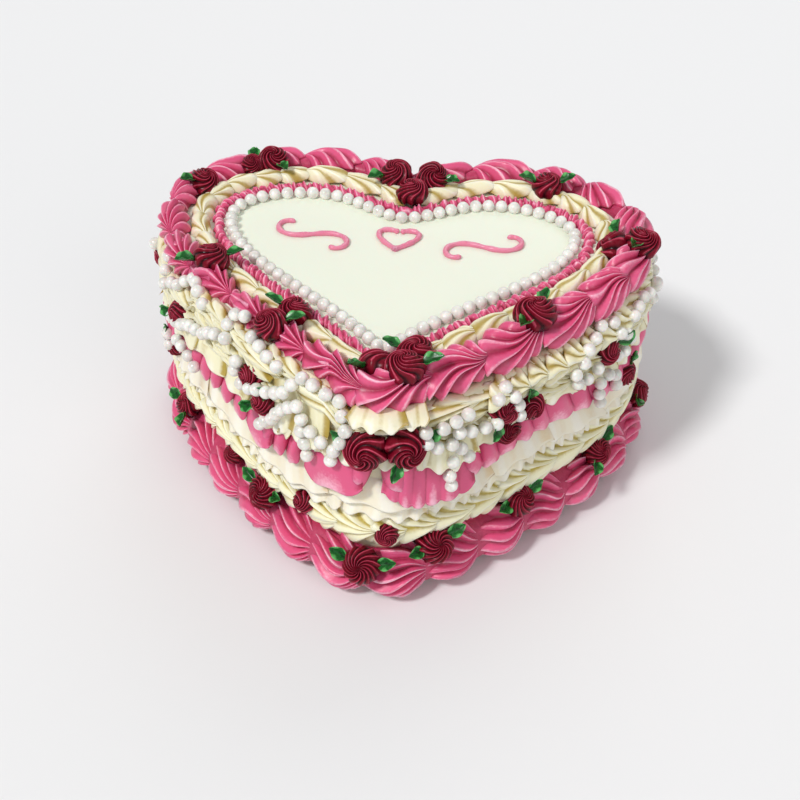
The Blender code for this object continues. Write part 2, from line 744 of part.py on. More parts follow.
def rear_strings():
    """Strings that hang from swag to swag round the back, where the cake is decorated alike."""
    strings = []
    for side in (-1, 1):
        strings.append(tuple((side * (173 + run), z) for run, z in ((0, 98), (7, 93), (14, 92), (21, 97))))
    return tuple(strings)


def along_string(points, t):
    """A point of the smooth string through the given points."""
    spans = len(points) - 1
    k = min(int(t * spans), spans - 1)
    u = t * spans - k
    p0 = points[max(k - 1, 0)]
    p1, p2 = points[k], points[k + 1]
    p3 = points[min(k + 2, spans)]
    out = []
    for a, b, c, e in zip(p0, p1, p2, p3):
        bend = 2 * a - 5 * b + 4 * c - e
        twist = 3 * b - a - 3 * c + e
        out.append(0.5 * (2 * b + (c - a) * u + bend * u * u + twist * u**3))
    return tuple(out)


for old in list(bpy.data.objects):
    bpy.data.objects.remove(old)

part = bpy.data.collections.new("heart_cake")
bpy.context.scene.collection.children.link(part)
cutting = helper_collection("cutters")

cream = icing("cream_buttercream", (0.93, 0.88, 0.66), 0.5)
panel_cream = icing("pale_buttercream", (0.86, 0.88, 0.74), 0.5)
pink = icing("pink_buttercream", (0.72, 0.10, 0.25), 0.45)
burgundy = icing("burgundy_buttercream", (0.30, 0.01, 0.04), 0.4)

top_shells = make_top_shells("top_shells", False, part, pink)
base_shells = make_base_shells("base_shells", False, part, pink)
cream_ring = make_cream_ring(part, cream)
rope_ring = make_rope(part, pink)
garland = make_side_band("cream_garland", False, part, cream)
petals = make_side_band("petal_ruffle", False, part, pink)
skirt = make_side_band("cream_ruffle", False, part, cream)
row = make_side_band("cream_shell_row", False, part, cream)
cake = make_cake(part, panel_cream)
add_side_pearls(garland)

hulls = helper_collection("hulls")
smooth_top = make_top_shells("top_shells", True, hulls)
smooth_base = make_base_shells("base_shells", True, hulls)
cutters = {name: grown(make_side_band(name, True, hulls), cutting) for name in SIDE_BANDS}
cutters["cake"] = as_helper(heart_block("core", 0.0, HEIGHT + GAP, 0.002, cutting))
cutters["top_shells"] = grown(smooth_top, cutting)
cutters["base_shells"] = grown(smooth_base, cutting)
cutters["cream_shell_ring"] = grown(cream_ring, cutting)
cutters["rope_ring"] = grown(rope_ring, cutting)
REACHED = {
    "top": ("cake", "top_shells", "cream_shell_ring", "rope_ring", "cream_garland"),
    "side": ("cake", *SIDE_BANDS, "top_shells", "base_shells"),
    "base": ("cake", "base_shells", "cream_shell_row", "cream_ruffle"),
}
for name, kind, rosettes, leaves in SPRAYS:
    reached = [cutters[key] for key in REACHED[kind]]
    make_spray("spray_" + name, kind, rosettes, leaves, part, burgundy, reached)

for helper in (cutting, hulls):
    clear_collection(helper)
bpy.context.view_layer.update()
lows = [min(v.co[k] for obj in part.objects for v in obj.data.vertices) for k in range(3)]
highs = [max(v.co[k] for obj in part.objects for v in obj.data.vertices) for k in range(3)]
centre = Matrix.Translation((-(lows[0] + highs[0]) / 2, -(lows[1] + highs[1]) / 2, 0))
for obj in part.objects:
    obj.data.transform(centre)
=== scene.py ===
"""A heart shaped buttercream cake, with piped shell borders, ruffles, sugar pearls, rosettes and leaves."""

import math
import random

import bmesh
import bpy
import numpy as np
from mathutils import Matrix, Vector


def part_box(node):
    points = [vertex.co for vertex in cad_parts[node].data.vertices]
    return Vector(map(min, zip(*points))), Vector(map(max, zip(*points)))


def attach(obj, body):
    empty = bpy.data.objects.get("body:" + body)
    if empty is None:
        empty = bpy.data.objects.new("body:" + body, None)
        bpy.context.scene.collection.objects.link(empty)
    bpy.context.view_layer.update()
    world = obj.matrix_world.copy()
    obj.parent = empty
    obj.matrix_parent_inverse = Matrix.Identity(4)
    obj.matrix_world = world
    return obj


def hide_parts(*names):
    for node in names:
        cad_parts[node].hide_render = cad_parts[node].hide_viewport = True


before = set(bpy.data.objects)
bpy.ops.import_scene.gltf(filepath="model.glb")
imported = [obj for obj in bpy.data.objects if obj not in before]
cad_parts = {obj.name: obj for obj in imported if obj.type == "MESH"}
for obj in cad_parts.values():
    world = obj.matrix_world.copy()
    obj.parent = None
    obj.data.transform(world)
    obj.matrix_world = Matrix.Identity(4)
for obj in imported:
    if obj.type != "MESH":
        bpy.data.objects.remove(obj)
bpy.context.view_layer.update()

# The iced cake
# A heart shaped sponge under a smooth coat of pale buttercream, with a crisp edge round its flat top.
# Everything else is piped or set on it, so the outline that the borders follow is drawn here.
HALF_WIDTH = 0.116
HEIGHT = 0.116
LOBE_X, LOBE_Y = 0.0461, 0.0598
WIDEST_Y = 0.0046
CLEFT_Y, CLEFT_ANGLE, CLEFT_ROUND, CLEFT_GROWTH = 0.0434, 0.3464, 0.006, 1.1
TIP_Y, TIP_ANGLE, TIP_GROWTH = -0.1558, 0.5714, 1.85
TIP_ROUND, TIP_ROUND_GROWTH, TIP_LEAN = 0.0175, 0.5, 0.0063
PEARL_LINE, PANEL_SHIFT = -0.031, -0.0045
WALL_SET_IN = -0.0007
WALL_POINTS = 66
SEED = 7
# Each half is three curves: the side up to LOBE_FROM, the lobe up to CLEFT_FROM, and the dip into the cleft.
# The next values say how far the curves' handles reach, and how far round the tip and the cleft are blunted.
LOBE_FROM, CLEFT_FROM = 0.5, 0.75
SIDE_FULL, SIDE_STRAIGHT, QUARTER_ARC, LOBE_FULL, CLEFT_FULL = 0.45, 0.38, 0.5523, 0.58, 0.36
TIP_BLEND, CLEFT_BLEND = 0.05, 0.02


def bezier(a, b, c, e, t):
    """A cubic curve from a to e, with handles at b and c."""
    u = 1 - t
    return u**3 * a + 3 * u * u * t * b + 3 * u * t * t * c + t**3 * e


def half_heart(v, d):
    """Points of the heart's right half set out by d: v is 0 at the tip and 1 at the cleft."""
    wide, lobe = HALF_WIDTH + d, LOBE_Y + d
    cleft, tip = CLEFT_Y + CLEFT_GROWTH * d, TIP_Y - TIP_GROWTH * d
    side = WIDEST_Y - tip
    t = np.clip(v / LOBE_FROM, 0, 1)
    handle = tip + SIDE_FULL * side * math.cos(TIP_ANGLE)
    front_x = bezier(0, SIDE_FULL * side * math.sin(TIP_ANGLE), wide, wide, t)
    front_y = bezier(tip, handle, WIDEST_Y - SIDE_STRAIGHT * side, WIDEST_Y, t)
    blunt = np.hypot(front_x, TIP_ROUND + TIP_ROUND_GROWTH * d) - front_x
    front_y = front_y + blunt / math.tan(TIP_ANGLE) * np.exp(-((front_x / TIP_BLEND) ** 2))
    t = np.clip((v - LOBE_FROM) / (CLEFT_FROM - LOBE_FROM), 0, 1)
    lobe_x = bezier(wide, wide, LOBE_X + QUARTER_ARC * (wide - LOBE_X), LOBE_X, t)
    lobe_y = bezier(WIDEST_Y, WIDEST_Y + QUARTER_ARC * (lobe - WIDEST_Y), lobe, lobe, t)
    t = np.clip((v - CLEFT_FROM) / (1 - CLEFT_FROM), 0, 1)
    r = CLEFT_FULL * np.hypot(LOBE_X, lobe - cleft)
    cleft_x = bezier(LOBE_X, LOBE_FULL * LOBE_X, r * math.cos(CLEFT_ANGLE), 0, t)
    cleft_y = bezier(lobe, lobe, cleft + r * math.sin(CLEFT_ANGLE), cleft, t)
    blunt = np.hypot(cleft_x, CLEFT_ROUND) - cleft_x
    cleft_y = cleft_y + blunt * math.tan(CLEFT_ANGLE) * np.exp(-((cleft_x / CLEFT_BLEND) ** 2))
    x = np.where(v < LOBE_FROM, front_x, np.where(v < CLEFT_FROM, lobe_x, cleft_x))
    return x, np.where(v < LOBE_FROM, front_y, np.where(v < CLEFT_FROM, lobe_y, cleft_y))


ALONG = np.linspace(0, 1, 601)
WALL = np.stack(half_heart(ALONG, 0.0), -1)
LENGTHS = np.concatenate([[0], np.cumsum(np.hypot(*np.diff(WALL, axis=0).T))])
HALF_ROUND = float(LENGTHS[-1])
ROUND = 2 * HALF_ROUND
centre = np.zeros(3)


def place(s, d, z):
    """Points at s round the wall from the tip, d out from it and z up. Arrays are welcome."""
    s, d, z = np.broadcast_arrays(np.asarray(s, float), np.asarray(d, float), np.asarray(z, float))
    s = (s + HALF_ROUND) % ROUND - HALF_ROUND
    x, y = half_heart(np.interp(np.abs(s), LENGTHS, ALONG), d)
    tip = TIP_Y - TIP_GROWTH * d + (TIP_ROUND + TIP_ROUND_GROWTH * d) / math.tan(TIP_ANGLE)
    down = np.clip((LOBE_Y + d - y) / (LOBE_Y + d - tip), 0, 1.3)
    shift = PANEL_SHIFT * np.clip(d / PEARL_LINE, 0, 1.3)
    return np.stack([np.copysign(x, s) + TIP_LEAN * down * down, y + shift, z], -1) + centre


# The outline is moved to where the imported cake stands.
corners = place(ROUND * np.arange(WALL_POINTS) / WALL_POINTS, WALL_SET_IN, 0)
low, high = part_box("cake")
middle = (corners.min(0) + corners.max(0)) / 2
centre = np.array([(low.x + high.x) / 2 - middle[0], (low.y + high.y) / 2 - middle[1], 0.0])


def noisy(seed):
    """A seeded source of unevenness. Each border has its own, so that one doesn't change another."""
    return random.Random(SEED + seed)


def weave(grids, torus=False):
    """Several grids as one mesh, with their relief. A grid's columns close round, and its ends are capped."""
    points, faces, relief, base = [], [], [], 0
    for grid, mark in grids:
        rows, cols = grid.shape[:2]
        index = base + np.arange(rows * cols).reshape(rows, cols)
        near = index if torus else index[:-1]
        far = np.roll(index, -1, 0) if torus else index[1:]
        quads = np.stack([near, np.roll(near, -1, 1), np.roll(far, -1, 1), far], -1)
        faces += quads.reshape(-1, 4).tolist()
        if not torus:
            faces += [index[0][::-1].tolist(), index[-1].tolist()]
        points.append(grid.reshape(-1, 3))
        relief.append(np.broadcast_to(mark, (rows, cols)).reshape(-1))
        base += rows * cols
    return np.concatenate(points), faces, np.concatenate(relief)


def make_piece(name, woven, material):
    """A mesh object that rides with the cake, with its relief kept for the icing's colours, which include its
    painted highlights and painted shade.
    """
    points, faces, relief = woven
    mesh = bpy.data.meshes.new(name)
    mesh.from_pydata(points.tolist(), [], faces)
    mark = mesh.attributes.new("relief", "FLOAT", "POINT")
    mark.data.foreach_set("value", relief.astype(np.float32))
    bm = bmesh.new()
    bm.from_mesh(mesh)
    bmesh.ops.recalc_face_normals(bm, faces=bm.faces)
    bm.to_mesh(mesh)
    bm.free()
    mesh.shade_smooth()
    mesh.materials.append(material)
    piece = bpy.data.objects.new(name, mesh)
    bpy.context.scene.collection.objects.link(piece)
    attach(piece, "root")
    return piece


STIR_SCALE, SKIN_SCALE, PIT_SCALE = 90, 700, 420
# Where the relief mark fades into the painted groove shade and into the painted crest highlight.
GROOVE_SHADE_FADE, CREST_HIGHLIGHT_FADE = (0.0, 0.5), (0.72, 1.0)
SKIN_DEPTH = 0.0006


def icing_group():
    """Whipped icing: a painted highlight along its crests and painted shade in its grooves, mottled, with a fine
    skin and tiny pits.
    """
    group = bpy.data.node_groups.new("whipped_icing", "ShaderNodeTree")
    sockets = group.interface
    for socket, kind, value in (
        ("Relief", "NodeSocketFloat", 0.5),
        ("Body", "NodeSocketColor", (0.8, 0.8, 0.8, 1)),
        ("Crest highlight", "NodeSocketColor", (1, 1, 1, 1)),
        ("Groove shade", "NodeSocketColor", (0.5, 0.5, 0.5, 1)),
        ("Mottle", "NodeSocketFloat", 0.1),
        ("Gloss", "NodeSocketFloat", 0.4),
        ("Grain", "NodeSocketFloat", 0.3),
    ):
        sockets.new_socket(socket, in_out="INPUT", socket_type=kind).default_value = value
    sockets.new_socket("Color", in_out="OUTPUT", socket_type="NodeSocketColor")
    sockets.new_socket("Roughness", in_out="OUTPUT", socket_type="NodeSocketFloat")
    sockets.new_socket("Normal", in_out="OUTPUT", socket_type="NodeSocketVector")
    nodes, links = group.nodes, group.links
    given = nodes.new("NodeGroupInput")
    out = nodes.new("NodeGroupOutput")
    where = nodes.new("ShaderNodeTexCoord")

    def noise(scale, detail):
        node = nodes.new("ShaderNodeTexNoise")
        node.inputs["Scale"].default_value = scale
        node.inputs["Detail"].default_value = detail
        links.new(where.outputs["Object"], node.inputs["Vector"])
        return node.outputs["Fac"]

    def math_node(kind, a, b, clamp=False):
        node = nodes.new("ShaderNodeMath")
        node.operation = kind
        node.use_clamp = clamp
        for socket, value in zip(node.inputs, (a, b)):
            if isinstance(value, bpy.types.NodeSocket):
                links.new(value, socket)
            else:
                socket.default_value = value
        return node.outputs[0]

    def blend(share, a, b):
        node = nodes.new("ShaderNodeMix")
        node.data_type = "RGBA"
        links.new(share, node.inputs["Factor"])
        links.new(a, node.inputs[6])
        links.new(b, node.inputs[7])
        return node.outputs[2]

    def ramp(value, low_end, high_end):
        node = nodes.new("ShaderNodeMapRange")
        node.interpolation_type = "SMOOTHSTEP"
        node.inputs["From Min"].default_value = low_end
        node.inputs["From Max"].default_value = high_end
        links.new(value, node.inputs["Value"])
        return node.outputs["Result"]

    broad = math_node("SUBTRACT", noise(STIR_SCALE, 3), 0.5)
    close = math_node("SUBTRACT", noise(SKIN_SCALE, 4), 0.5)
    stir = math_node("MULTIPLY", math_node("ADD", broad, close), given.outputs["Mottle"])
    height = math_node("ADD", given.outputs["Relief"], stir)
    lit = blend(ramp(height, *GROOVE_SHADE_FADE), given.outputs["Groove shade"], given.outputs["Body"])
    links.new(blend(ramp(height, *CREST_HIGHLIGHT_FADE), lit, given.outputs["Crest highlight"]), out.inputs["Color"])
    wet = math_node("MULTIPLY", math_node("ADD", broad, close), 0.25)
    links.new(math_node("ADD", given.outputs["Gloss"], wet, True), out.inputs["Roughness"])
    pits = nodes.new("ShaderNodeTexVoronoi")
    pits.inputs["Scale"].default_value = PIT_SCALE
    links.new(where.outputs["Object"], pits.inputs["Vector"])
    pit = ramp(pits.outputs["Distance"], 0.0, 0.22)
    skin = math_node("ADD", math_node("MULTIPLY", close, 0.5), math_node("MULTIPLY", pit, 0.12))
    bump = nodes.new("ShaderNodeBump")
    bump.inputs["Distance"].default_value = SKIN_DEPTH
    links.new(given.outputs["Grain"], bump.inputs["Strength"])
    links.new(skin, bump.inputs["Height"])
    links.new(bump.outputs["Normal"], out.inputs["Normal"])
    return group


whipped = icing_group()


def icing(
    name, body, crest, groove, mottle=0.2, gloss=0.42, grain=0.3, glow=0.2, deep=(0.9, 0.4, 0.3), shine=0.5,
):
    """A buttercream's own material: its colour, with a painted highlight colour for its crests and a painted shade
    colour for its grooves.

    mottle is how uneven the colour is, gloss how rough the skin is, and grain how deep its fine texture is.
    glow is how much light goes through it, and deep is the light that comes out.
    """
    material = bpy.data.materials.new(name)
    material.use_nodes = True
    nodes, links = material.node_tree.nodes, material.node_tree.links
    shader = nodes["Principled BSDF"]
    mark = nodes.new("ShaderNodeAttribute")
    mark.attribute_name = "relief"
    surface = nodes.new("ShaderNodeGroup")
    surface.node_tree = whipped
    surface.inputs["Body"].default_value = (*body, 1)
    surface.inputs["Crest highlight"].default_value = (*crest, 1)
    surface.inputs["Groove shade"].default_value = (*groove, 1)
    surface.inputs["Mottle"].default_value = mottle
    surface.inputs["Gloss"].default_value = gloss
    surface.inputs["Grain"].default_value = grain
    links.new(mark.outputs["Fac"], surface.inputs["Relief"])
    links.new(surface.outputs["Color"], shader.inputs["Base Color"])
    links.new(surface.outputs["Roughness"], shader.inputs["Roughness"])
    links.new(surface.outputs["Normal"], shader.inputs["Normal"])
    shader.inputs["Specular IOR Level"].default_value = shine
    shader.inputs["Subsurface Weight"].default_value = glow
    shader.inputs["Subsurface Radius"].default_value = deep
    shader.inputs["Subsurface Scale"].default_value = 0.004
    return material


pale_icing = icing(
    "pale_buttercream",
    body=(0.84, 0.87, 0.73),
    crest=(0.86, 0.88, 0.76),
    groove=(0.78, 0.80, 0.62),
    mottle=0.25,
    gloss=0.40,
    grain=0.12,
    glow=0.15,
)
# The coat's section, as how far out it stands and how high: up the wall, round the edge and in over the top.
COAT_SECTION = (
    (WALL_SET_IN, 0.0), (WALL_SET_IN, 0.04), (WALL_SET_IN, 0.08), (WALL_SET_IN, 0.1142), (-0.001, 0.1152),
    (-0.0016, 0.1158), (-0.0026, HEIGHT), (-0.012, HEIGHT), (-0.022, HEIGHT), (-0.03, HEIGHT),
)
COAT_STATIONS = 264
SHARP_EDGE = math.radians(50)
stations = ROUND * np.arange(COAT_STATIONS) / COAT_STATIONS
coat = np.stack([place(stations, d, z) for d, z in COAT_SECTION])
iced_cake = make_piece("iced_cake", weave([(coat, 0.5)]), pale_icing)
iced_cake.data.set_sharp_from_angle(angle=SHARP_EDGE)
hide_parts("cake")

# The piped ornament on the panel
# A small open heart between two curling scrolls, piped from a fine round nozzle in soft pink.
# The line swells a little where the hand slowed down, and ends in a rounded bead.
LINE_WIDTH = 0.0013
LINE_SUNK = 0.0004
SCROLL_LENGTH, SCROLL_STEPS, SCROLL_CURL, SCROLL_LEAN = 0.066, 72, 4.2, 0.3
SCROLL_SPOT = (0.042, -0.012)
HEART_SPOT_Y, HEART_HALF, HEART_GAP = -0.010, 0.0105, 0.0006


def scroll(side):
    """A line that bends ever more towards both its ends, left or right of the heart."""
    points = []
    x, y, step = 0.0, 0.0, SCROLL_LENGTH / SCROLL_STEPS
    for i in range(SCROLL_STEPS + 1):
        u = 2 * i / SCROLL_STEPS - 1
        points.append((x, y))
        heading = SCROLL_CURL * u * u - SCROLL_LEAN
        x += step * math.cos(heading)
        y += step * math.sin(heading)
    points = np.array(points)
    middle = (points.min(0) + points.max(0)) / 2
    return (points - middle + SCROLL_SPOT) * (side, 1)


def heart_stroke(side):
    """One side of the heart. The two cross a little at the point and stay apart at the dip."""
    a = np.linspace(0.5, math.pi, 40)
    x = HEART_HALF * np.sin(a) ** 3 - HEART_GAP
    y = 0.0085 * np.cos(a) - 0.0033 * np.cos(2 * a) - 0.0013 * np.cos(3 * a)
    return np.stack([side * x, y + HEART_SPOT_Y], -1)


def piped_line(path, seed):
    """A round line of icing along a path on the panel, with beads where it was held."""
    draw = noisy(seed)
    count = len(path)
    run = np.gradient(path, axis=0)
    run /= np.linalg.norm(run, axis=1)[:, None]
    across = np.stack([-run[:, 1], run[:, 0], np.zeros(count)], -1)
    t = np.linspace(0, 1, count)
    swell = 1 + 0.10 * np.sin(t * 31 + draw.uniform(0, 6)) + 0.07 * np.sin(t * 57 + draw.uniform(0, 6))
    ends = np.minimum(np.clip(t / 0.03, 0, 1), np.clip((1 - t) / 0.03, 0, 1))
    r = LINE_WIDTH * swell * (0.25 + 0.75 * np.sqrt(ends))
    a = np.linspace(0, 2 * math.pi, 16, endpoint=False)
    flat = np.concatenate([path, np.full((count, 1), HEIGHT + LINE_WIDTH - LINE_SUNK)], 1)
    up = np.array([0, 0, 1.0])
    spread = np.cos(a)[None, :, None] * across[:, None, :] + np.sin(a)[None, :, None] * up
    # The mark is higher on top of the round and lower under it: a painted highlight along the line's top and
    # painted shade beneath.
    return flat[:, None, :] + spread * r[:, None, None], 0.5 + 0.3 * np.sin(a)[None, :]


# Its crest colour is a painted highlight along the top of the line, and its groove colour painted shade under it.
line_icing = icing(
    "line_pink",
    body=(0.76, 0.22, 0.34),
    crest=(0.90, 0.50, 0.58),
    groove=(0.62, 0.10, 0.22),
    gloss=0.3,
    grain=0.1,
    glow=0.25,
)
strokes = []
for i, path in enumerate((scroll, heart_stroke)):
    for side in (-1, 1):
        strokes.append(piped_line(path(side) + centre[:2], i))
make_piece("panel_ornament", weave(strokes), line_icing)

# The sugar pearls
# Hard sugar balls with a pearl lustre coat. The panel's are set one against the next in a heart,
# pressed a little into the icing while it was soft.
PEARL_RADIUS = 0.00315
PEARL_COUNT = 72
PEARL_SUNK = 0.0008
PEARL_UNEVEN = 0.05
LUSTRE = ((0.35, (0.68, 0.66, 0.61, 1)), (0.65, (0.90, 0.89, 0.84, 1)))
LUSTRE_SCALE, DIMPLE_DEPTH = 260, 0.0006


def pearl_material():
    """Hard sugar with a cloudy lustre, faint dimples and a thin glaze."""
    material = bpy.data.materials.new("sugar_pearl")
    material.use_nodes = True
    nodes, links = material.node_tree.nodes, material.node_tree.links
    shader = nodes["Principled BSDF"]
    where = nodes.new("ShaderNodeTexCoord")
    cloud = nodes.new("ShaderNodeTexNoise")
    cloud.inputs["Scale"].default_value = LUSTRE_SCALE
    cloud.inputs["Detail"].default_value = 2
    links.new(where.outputs["Object"], cloud.inputs["Vector"])
    lustre = nodes.new("ShaderNodeValToRGB")
    for element, (position, colour) in zip(lustre.color_ramp.elements, LUSTRE):
        element.position = position
        element.color = colour
    links.new(cloud.outputs["Fac"], lustre.inputs["Fac"])
    links.new(lustre.outputs["Color"], shader.inputs["Base Color"])
    dimples = nodes.new("ShaderNodeBump")
    dimples.inputs["Strength"].default_value = 0.12
    dimples.inputs["Distance"].default_value = DIMPLE_DEPTH
    links.new(cloud.outputs["Fac"], dimples.inputs["Height"])
    links.new(dimples.outputs["Normal"], shader.inputs["Normal"])
    shader.inputs["Roughness"].default_value = 0.3
    shader.inputs["Coat Weight"].default_value = 0.5
    shader.inputs["Coat Roughness"].default_value = 0.12
    shader.inputs["Subsurface Weight"].default_value = 0.15
    shader.inputs["Subsurface Scale"].default_value = 0.002
    return material


pearl_coat = pearl_material()


def pearls_mesh(name, spots, seed):
    """One mesh of many pearls, each a little different in size."""
    draw = noisy(seed)
    bm = bmesh.new()
    for spot in spots:
        r = PEARL_RADIUS * (1 - draw.uniform(0, PEARL_UNEVEN))
        bmesh.ops.create_icosphere(bm, subdivisions=3, radius=r, matrix=Matrix.Translation(Vector(spot)))
    mesh = bpy.data.meshes.new(name)
    bm.to_mesh(mesh)
    bm.free()
    mesh.shade_smooth()
    mesh.materials.append(pearl_coat)
    piece = bpy.data.objects.new(name, mesh)
    bpy.context.scene.collection.objects.link(piece)
    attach(piece, "root")
    return piece


RING_STEPS = 400
ring_line = place(ROUND * np.arange(RING_STEPS + 1) / RING_STEPS, PEARL_LINE, 0)
paces = np.concatenate([[0], np.cumsum(np.linalg.norm(np.diff(ring_line, axis=0), axis=1))])
even = paces[-1] * (np.arange(PEARL_COUNT) + 0.5) / PEARL_COUNT
turns = np.interp(even, paces, np.arange(RING_STEPS + 1)) / RING_STEPS
pearls_mesh("panel_pearls", place(ROUND * turns, PEARL_LINE, HEIGHT + PEARL_RADIUS - PEARL_SUNK), 20)

# The pink rope ring
# A low ring of small pink ridges, piped with a fine star nozzle in a quick zigzag just outside the pearls.
# It is uneven, because the nozzle skips.
ROPE_IN, ROPE_OUT, ROPE_RISE = -0.0274, -0.0212, 0.0045
ROPE_STEPS, ROPE_PITCH = 1200, 0.0041
ROPE_FROM, ROPE_TO = math.radians(205), math.radians(-25)


def wander(s, cycles, seed, parts=5):
    """A smooth wave round the cake, between about -1 and 1, that repeats about so many times."""
    draw = noisy(seed)
    total = np.zeros_like(s)
    for _ in range(parts):
        turns = max(round(cycles * draw.uniform(0.6, 1.4)), 1)
        total += np.sin(2 * math.pi * turns * s / ROUND + draw.uniform(0, 2 * math.pi))
    return total / math.sqrt(parts)


def blade(q, crest=0.7, sharp=1.25):
    """Height across one ridge from 0 to 1: a long hollow flank up to a sharp crest, then a steep drop."""
    q = q % 1.0
    return np.minimum(q / crest, (1 - q) / (1 - crest)) ** sharp


# Its crest colour is a painted highlight for the ridges' crests, and its groove colour painted shade for the
# grooves.
pink_icing = icing(
    "pink_buttercream",
    body=(0.73, 0.098, 0.230),
    crest=(0.97, 0.50, 0.62),
    groove=(0.37, 0.015, 0.062),
    mottle=0.22,
    gloss=0.36,
    deep=(1, 0.3, 0.35),
)


def rope_ring():
    """A half round rope whose ridges vary in spacing, size and place."""
    s = ROUND * np.arange(ROPE_STEPS) / ROPE_STEPS
    a = np.linspace(ROPE_FROM, ROPE_TO, 11)
    grid_s, grid_a = np.meshgrid(s, a, indexing="ij")
    phase = grid_s / ROPE_PITCH + 0.35 * wander(grid_s, 60, 30) + 0.30 * grid_a
    ridge = blade(phase, 0.6, 1.0)
    size = 0.80 + 0.16 * wander(grid_s, 90, 31)
    r = np.clip(size * (0.66 + 0.46 * ridge), 0.4, 1.05)
    middle = (ROPE_IN + ROPE_OUT) / 2 + 0.0005 * wander(grid_s, 75, 32)
    d = middle + (ROPE_OUT - ROPE_IN) / 2 * np.cos(grid_a) * r
    z = HEIGHT + ROPE_RISE * np.maximum(np.sin(grid_a), -0.2) * r
    # The ridge height is also the mark for the colours: painted highlight on the crests and painted shade in the
    # grooves.
    return place(grid_s, d, z), ridge


rope = make_piece("rope_ring_piping", weave([rope_ring()], torus=True), pink_icing)
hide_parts("rope_ring")

# The cream shell ring
# Small soft shells of cream, piped round the panel between the rope and the big shells. Each is squeezed
# out fat and pulled off to a tail, and the next one covers that tail.
CREAM_IN, CREAM_OUT, CREAM_RISE, CREAM_SUNK = -0.0208, -0.0128, 0.0075, 0.0008
CREAM_SHELLS, CREAM_SPREAD = 32, 0.14


def joints(count, draw, spread):
    """The places of the joints between piped shells, and each shell's width."""
    widths = np.array([1 + draw.uniform(-spread, spread) for _ in range(count)])
    widths *= ROUND / widths.sum()
    return -HALF_ROUND + np.cumsum(widths), widths


def shell(
    apex, length, girth, roll, draw, blades, deep, hub, fan, bend, rows, fine,
    crest=0.68, tail=0.5, snub=0.42, square=0.75, notch=0.10, wave=0.0,
):
    """One piped shell: ridges that leave its pinched tail, run over its swelling and end round its rim.

    apex is where its tail is, and length how far it reaches from there. girth gives the angles round the roll
    at the inner and the outer rim, and roll(s, angle, size) gives d and z. The rim is an oval round a hub that
    lies ahead of the tail, over fan degrees to each side. bend takes the ridges from straight rays to curls that
    meet the rim square. blades counts the ridges, deep and crest shape them, and wave sways them. tail is how
    thick the tail is, snub how much the nose drops, square how full the rim's corners are, and notch how far the
    grooves cut into it. rows and fine are the mesh's rows, and its columns for each ridge.
    """
    cols = blades * fine + 1
    t = np.linspace(0.03, 1, rows)[:, None]
    u = np.linspace(0, 1, cols)[None, :]
    wobble = sum(draw.uniform(-0.2, 0.2) * np.sin(math.pi * k * u + draw.uniform(0, 6)) for k in (2, 3, 5))
    ridge = blade(u * blades + wobble * np.sin(math.pi * u), crest)
    grow = np.clip(t / 0.4, 0, 1)
    phi = math.radians(fan) * (2 * u - 1)
    rim_x = hub + (1 - hub) * np.cos(phi)
    rim_y = np.sign(np.sin(phi)) * np.abs(np.sin(phi)) ** square
    turn_x = (1 - bend) * 0.5 * rim_x + bend * (0.92 * rim_x + 0.04)
    turn_y = ((1 - bend) * 0.5 + bend * 0.15) * rim_y
    path = t * (1 - notch * (1 - ridge) * grow**2)
    x = 2 * path * (1 - path) * turn_x + path**2 * rim_x
    y = 2 * path * (1 - path) * turn_y + path**2 * rim_y
    y = y + wave * np.sin(7 * x + draw.uniform(0, 6)) * (1 - y * y)
    swell = tail + (1 - tail) * np.sin(math.pi / 2 * np.clip(x / 0.5, 0, 1))
    ahead = np.cos(np.clip(phi, -math.pi / 2, math.pi / 2)) ** 2
    late = np.clip((path - 0.6) / 0.4, 0, 1) ** 2.2
    size = swell * (1 - late * (0.05 + (snub - 0.05) * ahead)) * (1 - deep * (1 - ridge) * grow)
    # The mark gives the ridges' crests the painted highlight and the grooves painted shade, with painted shade too
    # at the pinched tail under the shell before.
    mark = ridge * np.clip(t / 0.12, 0.35, 1)
    # The rows tucked back under the head fade to painted shade.
    for back, share, fade in ((0.985, 0.84, 0.7), (0.95, 0.6, 0.3), (0.85, 0.3, 0.0)):
        x = np.vstack([x, x[rows - 1 : rows] * back])
        y = np.vstack([y, y[rows - 1 : rows]])
        size = np.vstack([size, size[rows - 1 : rows] * share])
        mark = np.vstack([mark, mark[rows - 1 : rows] * fade])
    inner, outer = girth
    angle = np.radians((inner + outer) / 2 - (inner - outer) / 2 * y)
    x = np.hstack([x, x[:, [-1, 0]]])
    angle = np.hstack([angle, np.full((rows + 3, 2), math.radians((inner + outer) / 2))])
    size = np.hstack([size, size[:, [-1, 0]] * 0.15])
    # The two buried columns that close the shell take painted shade.
    mark = np.hstack([mark, mark[:, [-1, 0]] * 0])
    s = apex - length * x
    d, z = roll(s, angle, size)
    return place(s, d, z), mark


